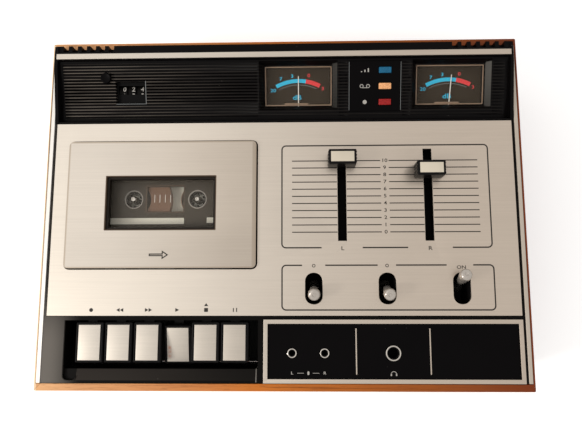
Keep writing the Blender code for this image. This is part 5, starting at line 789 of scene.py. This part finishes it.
def makeMeter(side, x, tilt):
    # the scales are arcs round a centre below the card, between offsets from the meter's middle
    middle = (x, 22.1)
    meter = {"edge": (middle, 44.4, 25.7, 0.4, 3), "hole": (middle, 43.1, 24.4, 0.3, 3), "card": -8.95,
             "cardHalf": 21.3, "cardEnds": (10.0, 34.2), "arcCentre": -5.7, "arcRadius": 31.6,
             "arcWidth": 2.5, "redWider": 0.25, "arc": (-14.9, 5.0, 14.4), "fineRadius": 28.9,
             "fineWidth": 0.3, "fine": (-14.2, 13.2), "numberSize": 3.1,
             "blueNumbers": (("20", (-17.0, 19.6)), ("7", (-11.8, 27.2)), ("3", (-4.2, 29.0))),
             "redNumbers": (("0", (7.0, 29.3)), ("3", (16.4, 20.6))), "unit": (-0.9, 14.8),
             "unitSize": 4.4, "pivot": 5.9, "needle": 23.0, "needleHalf": (0.34, 0.24), "level": -7.7,
             "trim": (-6.3, -6.0), "stop": ((-9.4, 10.1, -7.2), (6.6, 11.0, -6.7))}
    title, node = "meter" + side.title(), "meter_" + side
    dressNode(node + "_case", title + "Case", "dark")
    (front, back), half = meter["cardEnds"], meter["cardHalf"]
    card = addBlock(bmesh.new(), (x - half, front, meter["card"] - 0.3), (x + half, back, meter["card"]))
    makePiece(title + "Card", card, slopeFrame, "meterCard")
    low, high = meter["card"] - 0.02, meter["card"] + 0.05

    def scale(shape, radius, offsets, width, numbers=()):
        start, end = (90 - math.degrees(math.asin(offset / meter["arcRadius"])) for offset in offsets)
        addArc(shape, (x, meter["arcCentre"], 0), radius, start, end, width, low, high)
        for words, spot in numbers:
            addText(shape, words, meter["numberSize"], (x + spot[0], spot[1]), low, high)
        return shape

    left, zero, right = meter["arc"]
    blue = scale(bmesh.new(), meter["arcRadius"], (zero, left), meter["arcWidth"], meter["blueNumbers"])
    addText(blue, "dB", meter["unitSize"], (x + meter["unit"][0], meter["unit"][1]), low, high)
    makePiece(title + "BlueScale", blue, slopeFrame, "blueInk")
    red = scale(bmesh.new(), meter["arcRadius"], (right, zero), meter["arcWidth"] + meter["redWider"],
                meter["redNumbers"])
    makePiece(title + "RedScale", red, slopeFrame, "redInk")
    fine = scale(bmesh.new(), meter["fineRadius"], meter["fine"][::-1], meter["fineWidth"])
    makePiece(title + "FineScale", fine, slopeFrame, "greyInk")
    trim = makeRim(meter["edge"], meter["hole"], *meter["trim"])
    makePiece(title + "Trim", trim, slopeFrame, "goldInk", bevel=0.08)
    first, last = meter["stop"]
    stop = addBlock(bmesh.new(), (x + first[0], *first[1:]), (x + last[0], *last[1:]), 0.15)
    makePiece(title + "Stop", stop, slopeFrame, "goldInk")
    dressNode(node + "_glass", title + "Glass", "pane", 0.1)
    turn = (slopeFrame @ Matrix.Translation((x, meter["pivot"], meter["level"]))
            @ Matrix.Rotation(math.radians(tilt), 4, "Z"))
    foot, tip = meter["needleHalf"]
    outline = [(-foot, 0), (foot, 0), (tip, meter["needle"]), (-tip, meter["needle"])]
    needle = addSheet(bmesh.new(), outline, -0.14, 0.14)
    addTurned(needle, [(0, 0.45), (1.0, 0.45), (1.5, 0.2), (1.6, -0.2), (0, -0.2)], (0, 0, 0), steps=32)
    makePiece(title + "Needle", needle, turn, "whiteInk", node + "_needle")


def makeLamps():
    lamp = {"ends": (63.45, 71.55), "along": 21.2, "pitch": 10.3, "depth": 3.9, "low": -2.2, "high": 0.28,
            "edges": (44.0, 77.8), "edgeHalf": 0.11, "edgeEnds": (5.6, 36.8), "signX": 54.3,
            "filterY": 30.2, "tapeY": 21.2, "recordY": 10.9}
    dressNode("lamp_plate", "lampPlate", "gloss", 0, sharp=15)
    edges, signs = bmesh.new(), bmesh.new()
    front, back = lamp["edgeEnds"]
    for x in lamp["edges"]:
        addBlock(edges, (x - lamp["edgeHalf"], front, -0.3), (x + lamp["edgeHalf"], back, 0.03))
    makePiece("lampPlateEdges", edges, slopeFrame, "greyInk")
    for number, colour in enumerate(("blue", "amber", "red")):
        along = lamp["along"] + (1 - number) * lamp["pitch"]
        (left, right), half = lamp["ends"], lamp["depth"] / 2
        shape = addBlock(bmesh.new(), (left, along - half, lamp["low"]), (right, along + half, lamp["high"]),
                         0.35, 3)
        makePiece(colour + "Lens", shape, slopeFrame, colour + "Lens", "lamp_lenses")
    low, high, x, y = -0.01, 0.03, lamp["signX"], lamp["filterY"]
    for offset in (-2.2, 0, 2.2):  # three bars of rising height: filter
        addBlock(signs, (x + offset - 0.4, y, low), (x + offset + 0.4, y + 1.5 + offset / 2.4, high))
    y = lamp["tapeY"]
    for offset in (-2.1, 2.1):  # two reels: tape kind
        addSheet(signs, circle((x + offset, y), 1.25, 24), low, high, 0.42)
    addBlock(signs, (x - 2.1, y - 1.25, low), (x + 2.1, y - 0.85, high))
    addSheet(signs, circle((x, lamp["recordY"]), 1.35, 28), low, high)  # a dot: recording
    makePiece("lampSigns", signs, slopeFrame, "paleInk")


def makeCounter():
    # wheels turn about the row's x axis; the rest lies on the slope
    counter = {"x": (-106.7, -100.7, -94.7), "centre": (81.35, 74.85), "radius": 7.15, "width": 5.4,
               "lean": -5.0, "digit": 4.4, "shift": 0.9, "shown": (0, 2, 4),
               "maskEdge": ((-100.7, 18.4), 19.6, 14.3, 0.3, 2),
               "maskSlot": ((-100.7, 20.3), 17.6, 5.6, 0.3, 2), "mask": (-3.15, -2.95),
               "edging": (((-90.75, 11.2, -0.4), (-90.45, 26.0, 0.05)),
                          ((-110.6, 10.95, -0.4), (-90.45, 11.2, 0.05))), "button": (-116.4, 28.0, 0)}
    dressNode("counter_frame", "counterFrame", "dark", 0.15)
    radius, half = counter["radius"], counter["width"] / 2
    tread = [(1.4, -half), (radius - 0.2, -half), (radius, 0.2 - half), (radius, half - 0.2),
             (radius - 0.2, half), (1.4, half), (1.4, -half)]
    for name, x, shown in zip(("hundreds", "tens", "units"), counter["x"], counter["shown"]):
        node, centre = "counter_wheel_" + name, (x, *counter["centre"])
        wheel = addTurned(bmesh.new(), tread, centre, "X", 60)
        makePiece("counterWheel" + name.title(), wheel, rowFrame, "black", node)
        digits = bmesh.new()
        for number in range(10):
            digit = bmesh.new()
            addText(digit, str(number), counter["digit"], (counter["shift"], 0), 0, 0.06, 1.0)
            for vertex in digit.verts:  # wraps the flat digit round the wheel
                angle = vertex.co.y / radius
                reach = radius - 0.02 + vertex.co.z
                vertex.co = Vector((vertex.co.x, reach * math.sin(angle), reach * math.cos(angle)))
            facing = math.radians(counter["lean"]) + (number - shown) * math.pi / 5
            absorb(digits, digit, Matrix.Translation(centre) @ Matrix.Rotation(facing, 4, "X"))
        makePiece("counterDigits" + name.title(), digits, rowFrame, "paleInk", body=bodyOf[node])
    mask = makeRim(counter["maskEdge"], counter["maskSlot"], *counter["mask"])
    makePiece("counterMask", mask, slopeFrame, "dark")
    edging = bmesh.new()
    for low, high in counter["edging"]:
        addBlock(edging, low, high)
    makePiece("counterEdging", edging, slopeFrame, "greyInk")
    dished = [(0, 1.7), (1.6, 1.75), (2.5, 2.0), (2.9, 2.15), (3.2, 2.05), (3.38, 1.75), (3.38, -8.8),
              (0, -8.8)]
    button = addTurned(bmesh.new(), dished, counter["button"], steps=48)
    makePiece("resetButton", button, slopeFrame, "gloss", "counter_reset_button")


# Keys: black bodies with bright caps; the play key is down
def makeKeys():
    key = {"names": ("record", "rewind", "forward", "play", "stop", "pause"), "first": -120.0, "pitch": 18.13,
           "shaft": (-58.1, 75.6), "width": 13.9, "depth": 21.7, "middle": -25.5, "low": 10.4, "top": 11.56,
           "pressed": 12.0}
    low = (-key["width"] / 2, key["middle"] - key["depth"] / 2, key["low"])
    high = (key["width"] / 2, key["middle"] + key["depth"] / 2, key["top"])
    for number, name in enumerate(key["names"]):
        node = "key_" + name
        dressNode(node, "key" + name.title(), "keyBody", 0.22)
        place = Vector((key["first"] + number * key["pitch"], *key["shaft"])) * mm
        press = math.radians(key["pressed"]) if name == "play" else 0
        turn = Matrix.Translation(place) @ Matrix.Rotation(press, 4, "X") @ rowFrame
        cap = addBlock(bmesh.new(), low, high, 0.32, 4)
        makePiece("keyCap" + name.title(), cap, turn, "key", body=bodyOf[node])


# Jack panel: plate with a hole for each socket's ring, dividers and signs
def makeJacks():
    dressNode("jack_frame", "jackFrame", "trim", 0.18)
    jack = {"y": -90.0, "top": 86.35, "body": 74.0,
            "holed": ((6.2, 2.95, 2.0), (26.3, 2.95, 2.0), (68.5, 4.75, 3.65)),
            "dividers": (45.8, 91.2), "dividerSize": (0.375, 13.9, 85.2, 86.05), "plateBottom": 84.5,
            "plateTop": 85.7, "clearance": 0.3,
            "letters": ((6.2, "L"), (26.3, "R")), "dashes": ((9.4, 13.4), (19.0, 23.0)), "microphone": 16.25,
            "headphones": 68.5, "signs": -102.0, "signSize": 2.3}
    low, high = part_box("jack_plate")
    middle = Vector(((low.x + high.x) / 2, (low.y + high.y) / 2)) / mm
    outlines = [roundedCorners(middle, (high.x - low.x) / mm, (high.y - low.y) / mm, 0.1, 1)]
    outlines += [circle((x, jack["y"]), ring + jack["clearance"]) for x, ring, _ in jack["holed"]]
    plate = addHoled(bmesh.new(), outlines, jack["plateBottom"], jack["plateTop"])
    makePiece("jackPlate", plate, rowFrame, "gloss", "jack_plate")
    sockets, dark, bars, signs = (bmesh.new() for _ in range(4))
    top, bottom = jack["top"], jack["body"]
    for x, ring, hole in jack["holed"]:
        addTurned(sockets, [(hole, bottom), (hole, top - 0.5), (hole + 0.25, top - 0.1), (hole + 0.5, top),
                            (ring - 0.35, top), (ring - 0.1, top - 0.12), (ring, top - 0.35), (ring, bottom),
                            (hole, bottom)], (x, jack["y"], 0), steps=56)
        addTurned(dark, [(0, bottom), (hole - 0.03, bottom), (hole - 0.03, top - 1.1),
                         (hole - 0.5, top - 1.1), (hole - 0.5, bottom + 1), (0, bottom + 1)],
                  (x, jack["y"], 0), steps=40)
    makePiece("jackRings", sockets, rowFrame, "chrome", "jack_sockets")
    makePiece("jackLinings", dark, rowFrame, "dark")
    halfX, halfY, low, high = jack["dividerSize"]
    for x in jack["dividers"]:
        addBlock(bars, (x - halfX, middle.y - halfY, low), (x + halfX, middle.y + halfY, high), 0.15)
    makePiece("jackDividers", bars, rowFrame, "trim")
    low, high, y = jack["plateTop"] - 0.01, jack["plateTop"] + 0.03, jack["signs"]
    for x, letter in jack["letters"]:
        addText(signs, letter, jack["signSize"], (x, y), low, high)
    for first, last in jack["dashes"]:
        addBlock(signs, (first, y - 0.12, low), (last, y + 0.12, high))
    addSheet(signs, roundedCorners((jack["microphone"], y), 1.2, 2.2, 0.58, 6), low, high)
    x = jack["headphones"]
    addArc(signs, (x, y - 0.5, 0), 1.6, 0, 180, 0.35, low, high)
    for offset in (-1.6, 1.6):
        addBlock(signs, (x + offset - 0.4, y - 1.5, low), (x + offset + 0.4, y - 0.3, high))
    makePiece("jackSigns", signs, rowFrame, "paleInk")


# Level sliders: ribbed knob with a cream top, on a stem with a foot under the plate
def makeSliders():
    knob = {"width": 18.0, "depth": 9.4, "top": 12.7, "bottom": 1.0, "rib": 0.35, "border": 1.7,
            "ribRadius": 0.85, "ribs": 4, "ribPitch": 2.1,
            "places": (("left", 38.3, 36.2), ("right", 93.3, 28.808)),
            "stem": (1.75, 2.9, -8.0), "foot": (2.7, 5.4, -10.0, -7.5)}
    halfX, halfY = knob["width"] / 2 - knob["rib"], knob["depth"] / 2
    ribLow, ribHigh = knob["bottom"] + 0.6, knob["top"] - 1.2
    stemX, stemY, stemLow = knob["stem"]
    footX, footY, footLow, footHigh = knob["foot"]
    capX, capY = knob["width"] / 2 - knob["border"], halfY - knob["border"] + 0.3
    for side, x, y in knob["places"]:
        shape = addBlock(bmesh.new(), (x - halfX, y - halfY, knob["bottom"]),
                         (x + halfX, y + halfY, knob["top"] - 0.05), 0.6, 4)
        for end in (-1, 1):
            for number in range(knob["ribs"]):
                place = (x + end * (halfX - 0.5), y + (number - 1.5) * knob["ribPitch"], 0)
                addTurned(shape, [(0, ribLow), (knob["ribRadius"], ribLow), (knob["ribRadius"], ribHigh),
                                  (0, ribHigh)], place, steps=20)
        addBlock(shape, (x - stemX, y - stemY, stemLow), (x + stemX, y + stemY, knob["bottom"] + 0.5))
        addBlock(shape, (x - footX, y - footY, footLow), (x + footX, y + footY, footHigh))
        makePiece("sliderKnob" + side.title(), shape, plateFrame, "keyBody", "slider_knob_" + side)
        inset = addBlock(bmesh.new(), (x - capX, y - capY, knob["top"] - 0.8),
                         (x + capX, y + capY, knob["top"]), 0.2, 3)
        makePiece("sliderCap" + side.title(), inset, plateFrame, "capCream", body="slider_" + side)


# Toggle switches: a tapered lever with a flat end, on a ball at its pivot
def makeToggles():
    lever = {"length": 22.5, "tip": 3.7, "neck": 2.1, "ball": 4.0, "pivot": (-48.4, 72.0),
             "places": (("noise", 19.95, 14), ("tape", 65.9, 14), ("power", 112.1, -14))}
    tip, neck, ball = lever["tip"], lever["neck"], lever["ball"]
    top = lever["length"] + tip
    profile = [(0, top - 0.3), (0.9, top - 0.3), (1.15, top - 0.02), (tip - 1.3, top), (tip - 0.7, top - 0.3),
               (tip - 0.15, top - 0.9), (tip, top - 1.7), (tip - 0.05, top - 4.5), (tip - 0.5, top - 8.5),
               (neck + 0.5, top - 14.0), (neck, top - 17.0), (neck, ball - 0.5)]
    profile += [(ball * math.cos(angle), ball * math.sin(angle)) for angle in (0.85, 0.5, 0.1, -0.4, -0.9)]
    profile += [(0, -ball)]
    for name, x, swing in lever["places"]:
        place = Vector((x, *lever["pivot"])) * mm
        turn = Matrix.Translation(place) @ Matrix.Rotation(math.radians(swing), 4, "X") @ rowFrame
        shape = addTurned(bmesh.new(), profile, (0, 0, 0), steps=48)
        makePiece("toggle" + name.title(), shape, turn, "lever", "toggle_" + name, sharp=40)


# Back sockets, bottom screws, and the works inside
def makeBack():
    back = {"face": 103.7, "centre": 32.0, "phono": 11.2, "phonoPitch": 18.0, "gland": 86.0,
            "screws": ((-128, -80), (128, -80), (-128, 84), (128, 84), (-60, -98), (60, -98), (-60, 98),
                       (20, 98))}
    dressNode("rear_panel", "rearPlate", "zinc", 0.1)
    shellProfile = [(2.6, 0.1), (4.3, 0.1), (4.3, 6.1), (4.1, 6.3), (3.6, 6.3), (3.4, 6.1), (3.4, 0.8),
                    (2.6, 0.8), (2.6, 0.1)]
    coreProfile = [(1.7, 0.5), (3.3, 0.5), (3.3, 5.9), (3.0, 6.1), (1.7, 6.1), (1.7, 0.5)]
    glandProfile = [(3.3, 0.3), (7.6, 0.3), (7.6, 2.2), (7.2, 2.6), (5.2, 3.0), (4.9, 7.0), (4.4, 7.4),
                    (3.3, 7.4), (3.3, 0.3)]
    for number in range(4):
        place = (back["phono"] + number * back["phonoPitch"], back["face"], back["centre"])
        outer = addTurned(bmesh.new(), shellProfile, place, "Y", 40)
        makePiece("phonoShell%d" % (number + 1), outer, rowFrame, "chrome")
        core = addTurned(bmesh.new(), coreProfile, place, "Y", 36)
        makePiece("phonoCore%d" % (number + 1), core, rowFrame, "redPlug" if number % 2 else "whitePlug")
    gland = addTurned(bmesh.new(), glandProfile, (back["gland"], back["face"], back["centre"]), "Y", 48)
    makePiece("cordGland", gland, rowFrame, "black")
    screws = bmesh.new()
    screwProfile = [(0, 7.75), (1.0, 7.75), (1.6, 7.2), (2.9, 7.35), (3.2, 7.75), (3.2, 8.2), (0, 8.2)]
    for x, y in back["screws"]:
        addTurned(screws, screwProfile, (x, y, 0), steps=28)
    makePiece("baseScrews", screws, rowFrame, "zinc")
    inside = {"base_plate": "basePlate", "transport_plate": "dark", "head_bridge": "zinc",
              "pinch_roller": "rubber", "flywheel": "brass", "drive_belt": "rubber", "motor": "zinc",
              "motor_pulley": "brass", "key_shaft": "zinc", "slider_tracks": "dark",
              "toggle_bodies": "dark", "circuit_board": "laminate", "transformer": "zinc"}
    for node, finish in inside.items():
        materials = frame["nodes"][node].data.materials
        materials.clear()
        materials.append(finishes[finish])


# Floor, backdrop, lamps and camera
def makeStudio():
    studio = {"floor": 6.0, "floorGlow": 0.3, "world": 0.78, "worldColour": (1.0, 0.985, 0.965),
              "aim": (0, 0, 0.08),
              "lamps": (("softbox", (-0.60, 0.10, 0.95), 0.9, 1.5, (1.0, 0.97, 0.93)),
                        ("keyLamp", (-0.80, -0.30, 0.72), 0.2, 5.5, (1.0, 0.96, 0.9)))}
    seenBy = ("Is Camera Ray", "Is Glossy Ray", "Is Transmission Ray")
    shape = bmesh.new()
    bmesh.ops.create_grid(shape, x_segments=2, y_segments=2, size=studio["floor"])
    floor = addMesh("floor", shape)
    paper = Finish("studioPaper", {"Specular IOR Level": 0.1, "Emission Strength": studio["floorGlow"]})
    mottle = paper.noise(3.0)
    camera, glossy, clear = (paper.add("ShaderNodeLightPath", output=ray) for ray in seenBy)
    glow = paper.blend(camera + glossy + clear, (0, 0, 0), (1, 1, 1))
    paper.feed(paper.shader.inputs["Emission Color"], glow)
    tone = paper.blend(mottle, (0.955, 0.955, 0.955), (0.97, 0.97, 0.97))
    floor.data.materials.append(paper.paint(tone, 0.9))
    # the backdrop is white to the camera, to metal and to glass, and a little dimmer as a light
    world = bpy.data.worlds.new("studioWorld")
    bpy.context.scene.world = world
    world.use_nodes = True
    sky = world.node_tree
    rays = sky.nodes.new("ShaderNodeLightPath")
    seen = rays.outputs[seenBy[0]]
    for ray in seenBy[1:]:
        either = sky.nodes.new("ShaderNodeMath")
        either.operation = "MAXIMUM"
        sky.links.new(seen, either.inputs[0])
        sky.links.new(rays.outputs[ray], either.inputs[1])
        seen = either.outputs[0]
    level = sky.nodes.new("ShaderNodeMapRange")
    level.inputs["To Min"].default_value = studio["world"]
    level.inputs["To Max"].default_value = 1.0
    sky.links.new(seen, level.inputs["Value"])
    sky.links.new(level.outputs[0], sky.nodes["Background"].inputs["Strength"])
    sky.nodes["Background"].inputs["Color"].default_value = (*studio["worldColour"], 1)
    for name, place, size, power, colour in studio["lamps"]:
        lamp = bpy.data.lights.new(name, "AREA")
        lamp.size = size
        lamp.energy = power
        lamp.color = colour
        holder = addObject(name, lamp)
        holder.location = place
        holder.rotation_euler = (Vector(studio["aim"]) - Vector(place)).to_track_quat("-Z", "Y").to_euler()


def makeCamera():
    # the place, turns and lens were fitted to the photo; flip turns its downward y to the scene's
    view = {"place": (0.014781, -0.053599, 0.442068), "tilt": -8.025, "yaw": 1.46, "roll": -0.072,
            "lens": 34.893, "sensor": 36}
    flip = Matrix.Diagonal((1, -1, -1)).to_3x3()

    def turned(degrees, axis):
        return Matrix.Rotation(math.radians(degrees), 3, axis)

    seen = turned(view["roll"], "Z") @ turned(view["tilt"], "X") @ turned(view["yaw"], "Y") @ flip
    camera = bpy.data.cameras.new("camera")
    camera.lens = view["lens"]
    camera.sensor_width = view["sensor"]
    holder = addObject("camera", camera)
    holder.matrix_world = Matrix.Translation(view["place"]) @ (flip @ seen).transposed().to_4x4()
    bpy.context.scene.camera = holder


makeStudio()
makeCamera()
print("studio ready")
makeCabinet()
makeTop()
print("cabinet and top made")
makeLid()
makeCassette()
print("lid and cassette made")
makeBridge()
makeKeys()
makeJacks()
makeSliders()
makeToggles()
makeBack()
print("controls and back made")

bpy.context.scene.view_settings.view_transform = "Standard"
